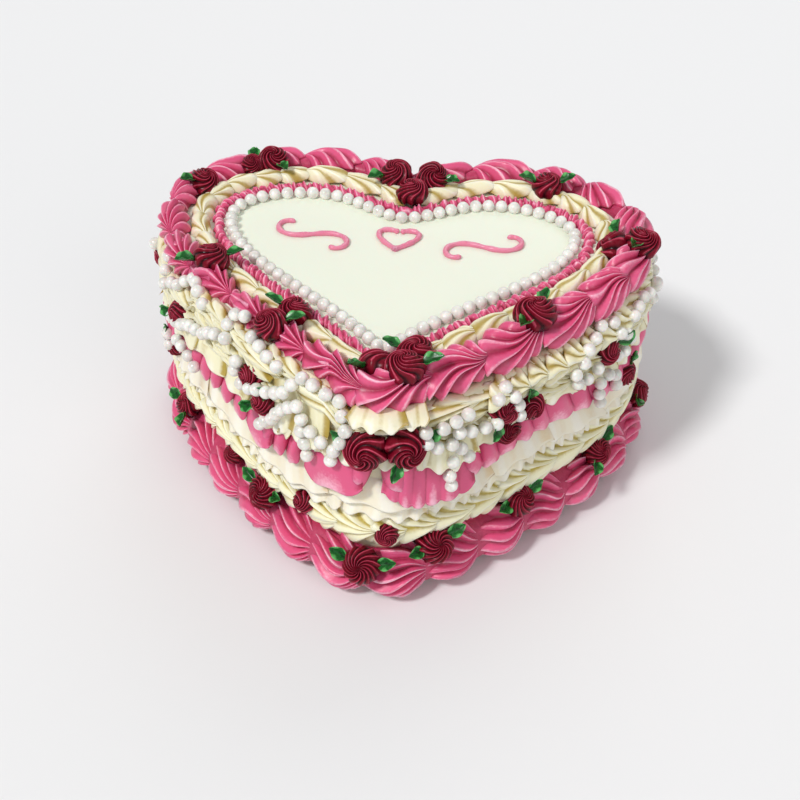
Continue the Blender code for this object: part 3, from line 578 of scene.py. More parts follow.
def neck(apex, length, girth, roll, draw, rows=14, cols=25):
    """The smooth neck from a fan's tail to the next fan: a low wedge with a few soft ridges."""
    x = np.linspace(-0.12, 1, rows)[:, None]
    u = np.linspace(-1, 1, cols)[None, :]
    half = 0.12 + 0.46 * np.clip(x + 0.12, 0, 1) ** 0.7
    ridge = 0.5 + 0.5 * np.cos(math.pi * 3 * u + draw.uniform(-0.8, 0.8))
    size = (0.56 + 0.26 * np.clip(x, 0, 1)) * (1 - 0.10 * (1 - ridge)) * (1 - 0.35 * u**4)
    size = size * np.clip(0.75 + 2 * (x + 0.12), 0, 1)
    inner, outer = girth
    angle = np.radians((inner + outer) / 2 - (inner - outer) / 2 * u * half)
    angle = np.hstack([angle, np.full((rows, 2), math.radians((inner + outer) / 2))])
    size = np.hstack([size, size[:, [-1, 0]] * 0.15])
    # Its soft ridges get the painted highlight and painted shade, and the two buried columns painted shade.
    mark = np.hstack([np.clip(0.3 + 0.6 * ridge + 0 * x, 0, 1), np.zeros((rows, 2))])
    s = apex + length * x + 0 * angle
    d, z = roll(s, angle, size)
    return place(s, d, z), mark


# Its crest colour is a painted highlight, and its groove colour a painted yellow shade for the grooves and hollows.
cream_icing = icing(
    "cream_buttercream",
    body=(0.88, 0.83, 0.58),
    crest=(0.94, 0.91, 0.75),
    groove=(0.45, 0.32, 0.06),
    gloss=0.4,
    deep=(1, 0.8, 0.5),
)
CREAM_SHELL = dict(
    blades=4, deep=0.14, hub=0.48, fan=135, bend=0.6, rows=20, fine=8,
    crest=0.6, tail=0.55, snub=0.35, square=0.8, wave=0.08,
)


def cream_ring():
    draw = noisy(40)
    ends, widths = joints(CREAM_SHELLS, noisy(5), CREAM_SPREAD)
    shells = []
    for end, width in zip(ends, widths):
        grown = draw.uniform(0.9, 1.06)
        wide = draw.uniform(1.45, 1.65)

        def roll(s, angle, size, grown=grown, wide=wide):
            half = (CREAM_OUT - CREAM_IN) / 2 * wide
            d = (CREAM_IN + CREAM_OUT) / 2 + 0.0015 + half * np.cos(angle) * size
            return d, HEIGHT - CREAM_SUNK + (CREAM_RISE + CREAM_SUNK) * np.sin(angle) * size * grown

        turn = draw.uniform(-12, 12)
        shells.append(shell(end, width * 1.4, (180 + turn, turn), roll, draw, **CREAM_SHELL))
    return shells


soft_ring = make_piece("cream_ring_piping", weave(cream_ring()), cream_icing)
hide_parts("cream_shell_ring")

# The big top shells
# Twenty-two fat shells of deep pink from a large closed star nozzle, piped over the top edge one after
# the other, so that each head covers the tail before it. On the left of the front they are set back.
TOP_SHELLS, TOP_SEED, WIDTH_SPREAD = 22, 21586, 0.12
TOP_TOE, TOP_REACH, TOP_RISE, TOP_DROP = -0.0122, 0.0075, 0.0125, 0.0105
SET_BACK_FROM, SET_BACK_TO, SET_BACK_BLEND = -0.112, -0.016, 0.008
SET_BACK_REACH, SET_BACK_DROP = 0.0025, 0.003
REAR_FROM, REAR_BLEND, REAR_SINK = 0.17, 0.06, 0.17
FAN_FROM, FAN_TO, REAR_ROLLS = -0.21, -0.015, 0.2
FAN = dict(deep=0.30, hub=0.10, fan=108, bend=0.12, rows=26, fine=7, crest=0.62, square=0.95, notch=0.20)
ROLL = dict(blades=8, deep=0.34, hub=0.50, fan=132, rows=30, fine=8, wave=0.08)
CORE_STATIONS = 300


def overhang(s):
    """1 where the top shells hang over the edge, and 0 where they are set back."""
    s = (s + HALF_ROUND) % ROUND - HALF_ROUND
    into = (s - SET_BACK_FROM) / SET_BACK_BLEND
    out_of = (SET_BACK_TO - s) / SET_BACK_BLEND
    return 1 - np.clip(np.minimum(into, out_of) + 0.5, 0, 1)


def top_rise(s):
    """How high the top shells stand, which is a little less at the back."""
    s = (s + HALF_ROUND) % ROUND - HALF_ROUND
    return TOP_RISE * (1 - REAR_SINK * np.clip((np.abs(s) - REAR_FROM) / REAR_BLEND, 0, 1))


def top_roll(s, angle, size):
    share = overhang(s)
    reach = SET_BACK_REACH + share * (TOP_REACH - SET_BACK_REACH)
    drop = SET_BACK_DROP + share * (TOP_DROP - SET_BACK_DROP)
    d = (TOP_TOE + reach) / 2 + (reach - TOP_TOE) / 2 * np.cos(angle) * size
    z = HEIGHT + np.where(np.sin(angle) > 0, top_rise(s), drop) * np.sin(angle) * size
    return d, z


def lining(roll, inner, outer, size):
    """A smooth core under a border, so that none of the cake shows between two of its shells. Its low mark gives it
    mostly painted groove shade where it shows between them.
    """
    s = ROUND * np.arange(CORE_STATIONS) / CORE_STATIONS
    angle = np.radians(np.linspace(inner, outer, 9))
    d, z = roll(s[:, None], angle[None, :], size)
    return place(s[:, None], d, z), 0.2


def top_border():
    """On the right the shells are plump rolls with curling ridges, on the left fans with smooth necks."""
    draw = noisy(50)
    ends, widths = joints(TOP_SHELLS, noisy(TOP_SEED), WIDTH_SPREAD)
    shells = []
    for end, width in zip(ends, widths):
        tilt = draw.uniform(-5, 5)
        girth = (184 + tilt, -80 + tilt)
        if FAN_FROM < end < FAN_TO:
            blades, reach = (11, 1.0) if end < SET_BACK_FROM else (9, 0.88)
            apex = end - 0.004
            shells.append(shell(apex, width * reach, girth, top_roll, draw, blades, **FAN))
            shells.append(neck(apex, width * 0.5, girth, top_roll, draw))
        else:
            rear = abs(end) > REAR_ROLLS
            bend = draw.uniform(0.2, 0.5) if rear else draw.uniform(1.0, 1.2)
            more, tail, snub = (0.004, 0.36, 0.50) if rear else (0.009, 0.44, 0.24)
            kind = dict(bend=bend, tail=tail, snub=snub)
            shells.append(shell(end + 0.003, width + more, girth, top_roll, draw, **kind, **ROLL))
    return shells


top_core = weave([lining(top_roll, 170, -86, 0.48)], torus=True)
make_piece("top_shell_core", top_core, pink_icing)
top_piping = make_piece("top_shell_piping", weave(top_border()), pink_icing)
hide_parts("top_shells")

# The cream garland
# Under the big shells hangs a border of cream: rows of small shells over a layer of rippled flaps, which
# were pushed out of a petal nozzle held with its thin end down, on a first smooth coat.
GARLAND_TOP = HEIGHT - TOP_DROP - 0.0008
GARLAND_HIGH = HEIGHT - SET_BACK_DROP - 0.0008
GARLAND_LOW, PETAL_LOW, SKIRT_LOW = 0.0815, 0.0675, 0.0500
BASE_REACH, BASE_TOP, BASE_BULGE = 0.0155, 0.034, 0.012
ROW_LOW = BASE_TOP + 0.0006
SWAG_COUNT, SWAG_DROP, SWAG_HIGH = 7, 0.0035, -0.007


def swag(s, z):
    """The side bands hang in shallow swags between the two shell borders."""
    room = (GARLAND_TOP - z) * (z - ROW_LOW) * 4 / (GARLAND_TOP - ROW_LOW) ** 2
    return z + SWAG_DROP * np.maximum(room, 0) * np.cos(2 * math.pi * SWAG_COUNT * (s - SWAG_HIGH) / ROUND)


def petal(
    middle, width, top, low, draw, tuck, throw, plump, lobes=0, depth=0.0, shear=0.0, crease=0.0,
    ragged=0.06, corner=0.3, rows=16, thick=0.0016, wavy=False, rim=0.45,
):
    """A flap from the petal nozzle: tucked in along its top, thrown out and loose along its lower edge.

    tuck and throw are how far out its top and its lower edge stand, plump how far its middle swells, and shear
    how far it is dragged along. lobes counts the pleats across it, which are depth deep and deepest along the
    loose edge. They ripple in and out if it is wavy. ragged and corner are how uneven and how round the loose
    edge is, crease is the depth of a furrow down it, thick is its thickness, and rim how much painted shade
    darkens its side edges and its tucked-in top.
    """
    cols = 15 + 6 * lobes
    v = (1 - (1 - np.linspace(0, 1, rows)) ** 1.5)[:, None]
    u = np.linspace(-1, 1, cols)[None, :]
    skew = u + 0.14 * np.sin(2 * u + draw.uniform(0, 6))
    turn = math.pi * lobes / 2 * skew + draw.uniform(0, 3)
    fold = np.sin(2 * turn) * 0.5 if wavy else np.abs(np.cos(turn)) ** 0.6 - 0.6
    fold = fold if lobes else 0 * u
    reach = 1 - corner * np.abs(u) ** (2.6 if lobes else 3.6) + ragged * fold
    reach = reach + 0.04 * np.sin(5 * u + draw.uniform(0, 6))
    s = middle + width / 2 * u * (0.82 + 0.18 * np.sin(math.pi / 2 * v)) + shear * v
    z = top + (low - top) * v * (1 + (reach - 1) * v)
    d = tuck + (throw - tuck) * v**0.75 + plump * (1 - u * u) * (0.4 + 0.6 * np.sin(math.pi * v**0.8))
    d = d + depth * fold * v**1.3 + 0.0010 * u * v
    line = u - 0.15 + 0.3 * v
    d = d - crease * np.exp(-((line / 0.05) ** 2)) * np.sin(math.pi * np.clip(v * 1.1, 0, 1))
    lip = np.clip((v - 0.75) / 0.25, 0, 1)
    body = thick * (1 - 0.45 * v + 0.35 * lip) * np.sqrt(1 - 0.92 * lip**4) * (1 - 0.85 * u**6)
    front = place(s, d, swag(s, z))
    back = place(s, np.maximum(d - body, 0.0002), swag(s, z) + 0.0004 * lip)
    # The mark paints light and shade: painted highlight and shade over the pleats, a lighter middle, painted shade
    # along the side edges and the tucked-in top, a painted highlight line along the loose lip, painted shade down
    # the crease, and painted shade on the underside.
    mark = np.clip(0.55 + 0.7 * fold + (0.15 if lobes else 0.4) * (1 - u * u), 0, 1) * (1 - 1.2 * rim * (1 - v))
    mark = (mark - rim * u**4 * (u > 0) - 0.45 * rim * u**6) * np.ones_like(v)
    mark = np.maximum(mark, 0.85 * np.exp(-(((v - 0.96) / 0.04) ** 2)) * (1 - 0.5 * u**4))
    mark = mark - 0.6 * np.exp(-((line / 0.08) ** 2)) * (crease > 0)
    return np.concatenate([front, back[:, ::-1]], 1), np.concatenate([mark, mark[:, ::-1] * 0.3], 1)


def garland_top(s):
    """The garland's upper edge, which is higher where the top shells are set back."""
    return GARLAND_TOP + (1 - overhang(s)) * (GARLAND_HIGH - GARLAND_TOP)


def stretch(low, high, widths, draw):
    """Places and widths of pieces set side by side from low to high round the wall."""
    spots, s = [], low
    while s < high:
        width = draw.uniform(*widths)
        spots.append((s + width / 2, width))
        s += width
    return spots


# The garland's rows of shells. A row says how far its shells sit under the garland's top, how tall they are,
# how far out they stand, and, for each stretch of the wall, how narrow and how wide they are.
GARLAND_ROWS = (
    (-0.0030, 0.0048, 0.0052, ((-0.116, -0.010, 0.010, 0.014),)),
    (
        0.0012, 0.0064, 0.0066,
        (
            (-0.332, -0.130, 0.010, 0.014), (-0.130, -0.055, 0.013, 0.019),
            (-0.022, 0.056, 0.022, 0.028), (0.135, 0.332, 0.010, 0.014),
        ),
    ),
    (0.0032, 0.0098, 0.0086, ((0.056, 0.135, 0.0098, 0.0120),)),
    (
        0.0080, 0.0050, 0.0070,
        ((-0.332, -0.055, 0.009, 0.015), (0.018, 0.056, 0.018, 0.020), (0.135, 0.332, 0.008, 0.013)),
    ),
    (0.0142, 0.0048, 0.0072, ((-0.332, -0.054, 0.009, 0.016), (0.022, 0.332, 0.008, 0.014))),
)
GARLAND_SHELL = dict(hub=0.30, bend=0.6, rows=15, fine=6, crest=0.56, wave=0.06)
WIDE_SHELL = dict(blades=6, deep=0.30, fan=130, tail=0.6, snub=0.30)
SMALL_SHELL = dict(blades=4, deep=0.34, fan=84, tail=0.8, snub=0.30)
PLUMP_SHELL = dict(blades=5, deep=0.30, fan=96, tail=0.85, snub=0.12)


def garland_shells(sunk, tall, out, stretches, seed):
    """One row. A tall row's shells are plump and short, and a wide shell has more ridges than a small one."""
    draw = noisy(seed)
    shells = []
    for low, high, narrow, broad in stretches:
        for spot, width in stretch(low, high, (narrow, broad), draw):
            lift = draw.uniform(-0.0008, 0.0008)
            grown = draw.uniform(0.92, 1.12)
            tilt = draw.uniform(-10, 10)

            def roll(s, angle, size, lift=lift, grown=grown):
                d = 0.0020 + out * np.cos(angle) * size * grown
                middle = garland_top(s) * 0.86 + GARLAND_TOP * 0.14 - sunk + lift
                return np.maximum(d, 0.0), middle + tall * grown * np.sin(angle) * size

            kind = PLUMP_SHELL if tall > 0.007 else WIDE_SHELL if width > 0.017 else SMALL_SHELL
            length = width * (1.25 if tall > 0.007 else 1.7)
            girth = (98 + tilt, -98 + tilt)
            shells.append(shell(spot + width / 2, length, girth, roll, draw, **kind, **GARLAND_SHELL))
    return shells


SMALL_FLAPS, LARGE_FLAPS = (0.010, 0.017), (0.019, 0.027)
FLAP_RUNS = (
    (-HALF_ROUND, -0.135, SMALL_FLAPS), (-0.135, -0.050, LARGE_FLAPS), (-0.050, HALF_ROUND, SMALL_FLAPS),
)
FLAP = dict(tuck=0.003, throw=0.0088, plump=0.0012, lobes=2, depth=0.0018, ragged=0.10, corner=0.18)
THIN_FLAP = dict(rows=10, thick=0.002)
# Flaps pushed out on their own: two short lips over the tip, a frill right of it, and a broad one left of it.
LONE_FLAPS = (
    dict(
        middle=0.003, width=0.025, top=0.1130, low=0.1076, tuck=0.004, throw=0.0118, plump=0.0012, lobes=3,
        depth=0.0018, ragged=0.30, corner=0.42, **THIN_FLAP,
    ),
    dict(
        middle=0.034, width=0.030, top=0.0930, low=0.0800, tuck=0.004, throw=0.0112, plump=0.0010, lobes=4,
        depth=0.0016, ragged=0.12, corner=0.30, **THIN_FLAP,
    ),
    dict(
        middle=-0.035, width=0.038, top=0.1110, low=0.0835, tuck=0.002, throw=0.0088, plump=0.0018, lobes=3,
        depth=0.0013, shear=-0.002, crease=0.0018, thick=0.0024,
    ),
    dict(
        middle=0.017, width=0.015, top=0.1125, low=0.1074, tuck=0.004, throw=0.0114, plump=0.0014, lobes=2,
        depth=0.0014, ragged=0.20, corner=0.45, **THIN_FLAP,
    ),
)


def garland_flaps():
    """A layer of rippled flaps below the shells, dragged a little to the left, and then the lone flaps."""
    draw = noisy(63)
    flaps = []
    top = GARLAND_LOW + 0.0135
    for spot, width in sum((stretch(low, high, widths, draw) for low, high, widths in FLAP_RUNS), []):
        low = GARLAND_LOW + draw.uniform(-0.0012, 0.0012)
        shear = draw.uniform(-0.005, -0.001)
        flaps.append(petal(spot, width * 1.4, top, low, draw, shear=shear, wavy=True, **FLAP, **THIN_FLAP))
    for lone in LONE_FLAPS:
        flaps.append(petal(draw=draw, wavy=True, rim=0.2, **lone))
    return flaps


COAT_STEPS = 240


def backing(low, high, out):
    """The first smooth coat of cream under the flaps, from low to high."""
    s = ROUND * np.arange(COAT_STEPS) / COAT_STEPS
    v = np.array([0.0, 0.10, 0.5, 0.95, 1.0, 0.5])
    d = np.array([0.0, 0.8, 1.0, 1.0, 0.0, -0.2]) * out
    z = low + (high(s)[:, None] - low) * v[None, :]
    return place(s[:, None], d[None, :], z), 0.5


for i, row_of_shells in enumerate(GARLAND_ROWS):
    shells = weave(garland_shells(*row_of_shells, 60 + i))
    make_piece(f"garland_shells_{i + 1}", shells, cream_icing)
garland = make_piece("garland_flaps", weave(garland_flaps()), cream_icing)
under_coats = [
    backing(GARLAND_LOW + 0.003, lambda s: garland_top(s) + 0.0042, 0.0046),
    backing(ROW_LOW - 0.012, lambda s: GARLAND_LOW + 0.006 + 0 * s, 0.0030),
]
make_piece("garland_under_coat", weave(under_coats, torus=True), cream_icing)
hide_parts("cream_garland")

# The pink petals
# A band of plump petals, each a short smooth push of the petal nozzle that overlaps the one before it,
# with a few broad and pleated ones where the hand dwelt.
PETAL_RUNS = (
    (-HALF_ROUND, 0.085, 0.0078, 0.0100), (0.085, 0.140, 0.0125, 0.0170), (0.140, HALF_ROUND, 0.0078, 0.0110),
)
PETAL = dict(tuck=0.002, throw=0.0068, plump=0.0048, ragged=0, corner=0.14, rows=12, thick=0.0034)
# A broad petal's middle, width, number of pleats and lower edge.
BROAD_PETALS = ((-0.062, 0.018, 0, 0.0662), (-0.018, 0.030, 0, 0.0632), (0.026, 0.044, 6, 0.0602))
BROAD_PETAL = dict(tuck=0.003, throw=0.0094, plump=0.0026, depth=0.0015, ragged=0.035, corner=0.22)
DRAG_LEFT, DRAG_RIGHT = -0.0052, 0.0028


def petal_band():
    """Small petals dragged away from the tip, left out where a broad one lies, and the broad ones over them."""
    draw = noisy(80)
    petals = []
    top = GARLAND_LOW + 0.0045
    for spot, width in sum((stretch(low, high, widths, draw) for low, high, *widths in PETAL_RUNS), []):
        if any(abs(spot - middle) < wide * 0.40 for middle, wide, _, _ in BROAD_PETALS):
            continue
        low = PETAL_LOW + draw.uniform(-0.0012, 0.0010)
        shear = draw.uniform(-0.0010, 0.0008) + (DRAG_LEFT if spot < 0 else DRAG_RIGHT)
        petals.append(petal(spot, width * 1.22, top, low, draw, shear=shear, **PETAL))
    for spot, width, lobes, low in BROAD_PETALS:
        petals.append(petal(spot, width, top, low, draw, lobes=lobes, **BROAD_PETAL))
    return petals


petals = make_piece("pink_petals", weave(petal_band()), pink_icing)
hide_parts("petal_ruffle")

# The cream skirt
# A wide smooth ruffle of off-white buttercream from the petal nozzle, drawn out slowly, so that it
# lies in long soft folds with a torn, frilly lower edge.
# Its crest colour is a painted highlight, and its groove colour a painted peach shade for the folds.
skirt_icing = icing(
    "skirt_buttercream",
    body=(0.90, 0.83, 0.65),
    crest=(0.94, 0.90, 0.76),
    groove=(0.80, 0.62, 0.37),
    mottle=0.22,
    grain=0.25,
    glow=0.25,
    deep=(1, 0.8, 0.5),
)
SKIRT_FLAP = dict(tuck=0.0, plump=0.0008, corner=0.10, rows=11, thick=0.0022, wavy=True, rim=0.12)
# The two layers: their top, how far the lower edge strays, the flaps' widths, how many pleats they may have,
# and the flaps' own values.
SKIRT_LAYERS = (
    (0.064, (-0.0012, 0.0012), (0.026, 0.042), (5, 6), dict(throw=0.0072, shear=-0.003, depth=0.0019, ragged=0.10)),
    (0.0725, (0.0040, 0.0065), (0.032, 0.050), (3, 4), dict(throw=0.0078, shear=0.003, depth=0.0014, ragged=0.06)),
)


def skirt_flaps():
    """Two layers of long flaps, the upper one tucked in behind the pink petals."""
    draw = noisy(90)
    flaps = []
    for top, stray, widths, pleats, own in SKIRT_LAYERS:
        for spot, width in stretch(-HALF_ROUND, HALF_ROUND, widths, draw):
            low = SKIRT_LOW + draw.uniform(*stray)
            lobes = draw.choice(pleats)
            flaps.append(petal(spot, width * 1.3, top, low, draw, lobes=lobes, **own, **SKIRT_FLAP))
    return flaps


skirt = make_piece("cream_skirt", weave(skirt_flaps()), skirt_icing)
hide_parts("cream_ruffle")

# The lower cream shells
# A row of small yellowish shells that closes the gap between the skirt and the base border, piped with a
# star nozzle held flat. Left of the tip they open into fans.
ROW_SHELLS, ROW_SPREAD = 40, 0.22
ROW_FANS_FROM, ROW_FANS_TO = -0.06, 0.0
ROW_SHELL = dict(deep=0.30, fan=120, rows=16, fine=6, crest=0.6, tail=0.55, snub=0.35)


def lower_shells():
    draw = noisy(100)
    ends, widths = joints(ROW_SHELLS, noisy(101), ROW_SPREAD)
    shells = []
    for end, width in zip(ends, widths):
        tall = draw.uniform(0.0088, 0.0100)

        def roll(s, angle, size, tall=tall):
            d = 0.0018 + 0.0072 * np.cos(angle) * size
            rise = np.where(np.sin(angle) > 0, tall, tall + 0.005) * np.sin(angle) * size
            return np.maximum(d, 0.0), swag(s, (ROW_LOW + SKIRT_LOW) / 2) + rise

        fanned = ROW_FANS_FROM < end < ROW_FANS_TO
        kind = dict(blades=9, bend=0.25, hub=0.2) if fanned else dict(blades=6, bend=0.7, hub=0.40)
        shells.append(shell(end, width * 1.5, (98, -98), roll, draw, **kind, **ROW_SHELL))
    return shells


# Its crest colour is a painted highlight, and its groove colour a painted yellow shade for the grooves.
row_icing = icing(
    "row_buttercream",
    body=(0.90, 0.86, 0.60),
    crest=(0.95, 0.92, 0.75),
    groove=(0.50, 0.37, 0.04),
    gloss=0.4,
    deep=(1, 0.8, 0.5),
)
row = make_piece("lower_cream_shells", weave(lower_shells()), row_icing)
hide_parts("cream_shell_row")

# The base shells
# Twenty-six large pink shells round the foot, from the same nozzle as the top ones. They were piped where
# the wall meets what the cake stands on, so they are flat underneath.
BASE_SHELLS, BASE_SEED = 26, 23304
BASE_IN = 0.0005
BASE_SHELL = dict(
    blades=10, deep=0.30, hub=0.25, fan=104, rows=28, fine=6, tail=0.40, snub=0.48, square=1.05, notch=0.16
)


def base_roll(s, angle, size):
    up = np.sin(angle) > 0
    d = BASE_IN + (BASE_REACH - BASE_IN) * np.cos(angle) * size
    z = BASE_BULGE + np.where(up, (BASE_TOP - BASE_BULGE), BASE_BULGE) * np.sin(angle) * size
    return np.maximum(d, 0.0), np.clip(z, 0.0, BASE_TOP)


def base_border():
    draw = noisy(110)
    ends, widths = joints(BASE_SHELLS, noisy(BASE_SEED), WIDTH_SPREAD)
    shells = []
    for end, width in zip(ends, widths):
        tilt = draw.uniform(-4, 4)
        wave = draw.uniform(0.05, 0.13)
        bend = draw.uniform(-0.5, -0.1)
        apex, girth = end + 0.004, (98 + tilt, -66)
        shells.append(shell(apex, width * 1.26, girth, base_roll, draw, bend=bend, wave=wave, **BASE_SHELL))
    return shells


base_core = weave([lining(base_roll, 96, -60, 0.66)], torus=True)
make_piece("base_shell_core", base_core, pink_icing)
base_piping = make_piece("base_shell_piping", weave(base_border()), pink_icing)
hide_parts("base_shells")

# The burgundy rosettes
# Drop rosettes and small roses of dark red buttercream, in sprays where the borders meet.
# Each was pushed from a star nozzle with a turn of the wrist, so its ridges wind to the middle.
MM = 0.001
# A spray's name, the face that carries it, its rosettes and its leaves, in millimetres. A rosette is how far it
# lies round the wall from the tip, how far out from the wall or, off the top, how high, and its radius. A leaf
# is the spot that it points to, and how deep its root is sunk, if it is.
SPRAYS = (
    ("top_tip", "top", ((1, -11, 10), (20, -13, 9.5), (14, -3, 9)), ((10, -20), (-9, 0), (28, 1))),
    ("top_front_left", "top", ((-55, -15, 8), (-57, -1, 8)), ((-69, -8), (-44, -9))),
    ("top_left", "top", ((-116, -7, 9),), ((-119, 5), (-113, -18))),
    ("top_rear_corner", "top", ((-203, -8, 8),), ((-191, -3),)),
    ("top_rear_left", "top", ((-251, -8, 8.5), (-238, -8, 6)), ((-245, 4, 3.5), (-256, -17))),
    ("top_cleft", "top", ((-324, -7, 9), (321, -8, 9), (330, -17, 8.5)), ((-316, -14), (310, -15))),
    ("top_rear_right", "top", ((253, -14, 8.5),), ((267, -17), (242, -9))),
    ("top_right", "top", ((168, -11, 9), (168, 1, 9)), ((181, -8), (156, -1))),
    ("top_front_right", "top", ((85, -3, 10),), ((99, -8), (72, 2))),
    ("side_tip", "side", ((-2, 93, 10.2), (14, 94, 10.2)), ((-13, 100), (26, 100), (7, 82))),
    ("side_front_left", "side", ((-64, 98, 7), (-56, 89, 7.5)), ((-52, 99), (-67, 82))),
    ("side_far_left", "side", ((-124, 95, 7.5),), ((-133, 92),)),
    ("side_left_low", "side", ((-146, 60, 6.5),), ((-146, 70),)),
    ("side_front_right", "side", ((62, 94, 8), (77, 88, 7.5), (65, 80, 7)), ((74, 99), (54, 86))),
    ("side_right", "side", ((126, 93, 7.5),), ((135, 97),)),
    ("side_right_low", "side", ((147, 66, 7),), ((148, 76),)),
    ("side_rear_1", "side", ((-178, 92, 7.5), (-190, 90, 7)), ((-199, 88),)),
    ("side_rear_2", "side", ((-222, 92, 7.5),), ((-230, 90),)),
    ("side_rear_3", "side", ((-268, 91, 8),), ((-278, 93),)),
    ("side_rear_4", "side", ((-316, 93, 7.5), (-328, 90, 7)), ((-308, 97),)),
    ("side_rear_5", "side", ((292, 92, 7.5),), ((301, 94),)),
    ("side_rear_6", "side", ((244, 92, 7.5), (232, 90, 7)), ((224, 88),)),
    ("side_rear_7", "side", ((198, 91, 7.5),), ((207, 94),)),
    ("base_left", "base", ((-133, 30, 7.5),), ((-144, 28), (-125, 25))),
    ("base_left_bud", "base", ((-88, 33, 5.5),), ()),
    ("base_front_left", "base", ((-62, 29, 9),), ((-74, 32), (-50, 31))),
    ("base_left_star", "side", ((-35, 43, 6),), ()),
    ("base_front_star", "side", ((6, 42, 6),), ()),
    ("base_tip", "base", ((-4, 24, 9.5),), ((-17, 27), (9, 26))),
    ("base_tip_right", "base", ((28, 29, 9.5),), ((40, 31), (17, 28))),
    ("base_front_right", "base", ((75, 30, 8.5),), ((85, 33), (65, 30))),
    ("base_right", "base", ((127, 29, 8),), ((135, 33), (118, 24))),
    ("base_rear_1", "base", ((-186, 29, 8.5),), ((-197, 31),)),
    ("base_rear_2", "base", ((-235, 29, 8.5),), ((-224, 29),)),
    ("base_rear_3", "base", ((-284, 30, 9),), ((-295, 32), (-273, 30))),
    ("base_rear_4", "base", ((326, 29, 9),), ((-327, 31), (315, 30))),
    ("base_rear_5", "base", ((274, 29, 8.5),), ((285, 31),)),
    ("base_rear_6", "base", ((222, 30, 8.5),), ((233, 32), (211, 30))),
    ("base_rear_7", "base", ((176, 29, 8.5),), ((165, 29),)),
)


def unit(v):
    return v / np.linalg.norm(v)


SIDE_SEAT = 0.0065


def seat(kind, s, q):
    """Where a rosette or leaf sits: its spot, the way along the wall, and the way it faces."""
    run = unit(place(s + 2 * MM, 0, 0) - place(s - 2 * MM, 0, 0))
    out = np.array([run[1], -run[0], 0.0])
    up = np.array([0.0, 0.0, 1.0])
    if kind == "top" and q < TOP_TOE:
        return place(s, q, HEIGHT + 0.75 * CREAM_RISE), run, up
    if kind == "top":
        reach = SET_BACK_REACH + float(overhang(s)) * (TOP_REACH - SET_BACK_REACH)
        middle = (TOP_TOE + reach) / 2
        share = min(max((q - middle) / (reach - middle), -0.9), 0.9)
        tall = math.sqrt(1 - share * share)
        spot = place(s, q, HEIGHT + 0.78 * float(top_rise(s)) * tall)
        return spot, run, unit(out * share * 0.8 + up * tall)
    if kind == "side":
        return place(s, SIDE_SEAT, q), run, unit(out + up * 0.15)
    share = min(max((q - BASE_BULGE) / (BASE_TOP - BASE_BULGE), 0.0), 0.85)
    reach = 0.80 * BASE_REACH * math.sqrt(1 - share * share)
    return place(s, reach, q), run, unit(out + up * (0.3 + share))


ROSE_RIDGES, DROP_RIDGES = (8, 9, 10), (12, 13, 14)
ROSE_WINDING, DROP_WINDING = (2.8, 3.8), (1.5, 2.2)
ROOT_DEPTH = 0.0035


def rosette(spot, run, way, radius, draw, rose):
    """A swirl of ridges that winds up a low dome. A rose winds tightly, so its ridges lie one round the other.

    The mesh winds with the ridges, so each ridge keeps its edge from the rim to the middle.
    """
    ridges = draw.choice(ROSE_RIDGES if rose else DROP_RIDGES)
    winding = draw.uniform(*(ROSE_WINDING if rose else DROP_WINDING)) * draw.choice((1, 1, -1))
    rho = np.linspace(1, 0.02, 21 if rose else 16)[:, None]
    start = np.linspace(0, 2 * math.pi, ridges * (7 if rose else 6), endpoint=False)[None, :]
    sway = 0.16 * np.sin(2 * start + draw.uniform(0, 6)) * (1 if rose else 0.4)
    ridge = blade(ridges * (start + sway) / (2 * math.pi), 0.66, 1.1) + 0 * rho
    a = start - winding * (1 - rho) ** 1.15
    grow = np.sin(math.pi / 2 * np.clip(rho / 0.3, 0, 1))
    dome = np.sqrt(np.clip(1 - (rho * 0.97) ** 2.6, 0, 1))
    lumps = 0.07 * np.sin(2 * a + draw.uniform(0, 6)) * rho
    lumps = lumps + 0.05 * np.sin(3 * a + draw.uniform(0, 6)) * rho
    groove = (1 - ridge) * grow * (0.35 + 0.65 * dome)
    tall = radius * (0.93 * dome - 0.05 - 0.17 * groove + lumps * (0.4 + dome))
    wide = radius * rho * (1 - 0.12 * (1 - ridge) * rho**2)
    drift_x, drift_y = (0.12 * radius * math.cos(k) * (1 - rho) for k in (ridges, ridges + 1.5))
    tall = np.vstack([-ROOT_DEPTH + 0 * tall[:1], 0.35 * tall[:1] - 0.0015, tall])
    wide = np.vstack([wide[:1] * 0.8, wide[:1] * 0.97, wide])
    a = np.vstack([a[:1], a[:1], a])
    drift_x, drift_y = (np.vstack([0 * k[:2], k]) for k in (drift_x, drift_y))
    # The mark gives the ridges' crests a painted highlight and the grooves painted shade, darker towards the middle
    # and on the sunk rows under the rim.
    mark = np.vstack([ridge[:1] * 0.3, ridge[:1] * 0.6, ridge * np.clip(rho / 0.12, 0.4, 1)])
    local = np.stack([wide * np.cos(a) + drift_x, wide * np.sin(a) + drift_y, tall], -1)
    frame_of = np.stack([run, np.cross(way, run), way], 1)
    return spot + local @ frame_of.T, mark


# Its crest colour is a painted highlight on the ridges, and its groove colour a near black painted shade between
# them.
burgundy_icing = icing(
    "burgundy_buttercream",
    body=(0.17, 0.003, 0.014),
    crest=(0.60, 0.07, 0.13),
    groove=(0.014, 0.0002, 0.0015),
    gloss=0.3,
    grain=0.25,
    glow=0.06,
    deep=(1, 0.1, 0.1),
    shine=0.15,
)


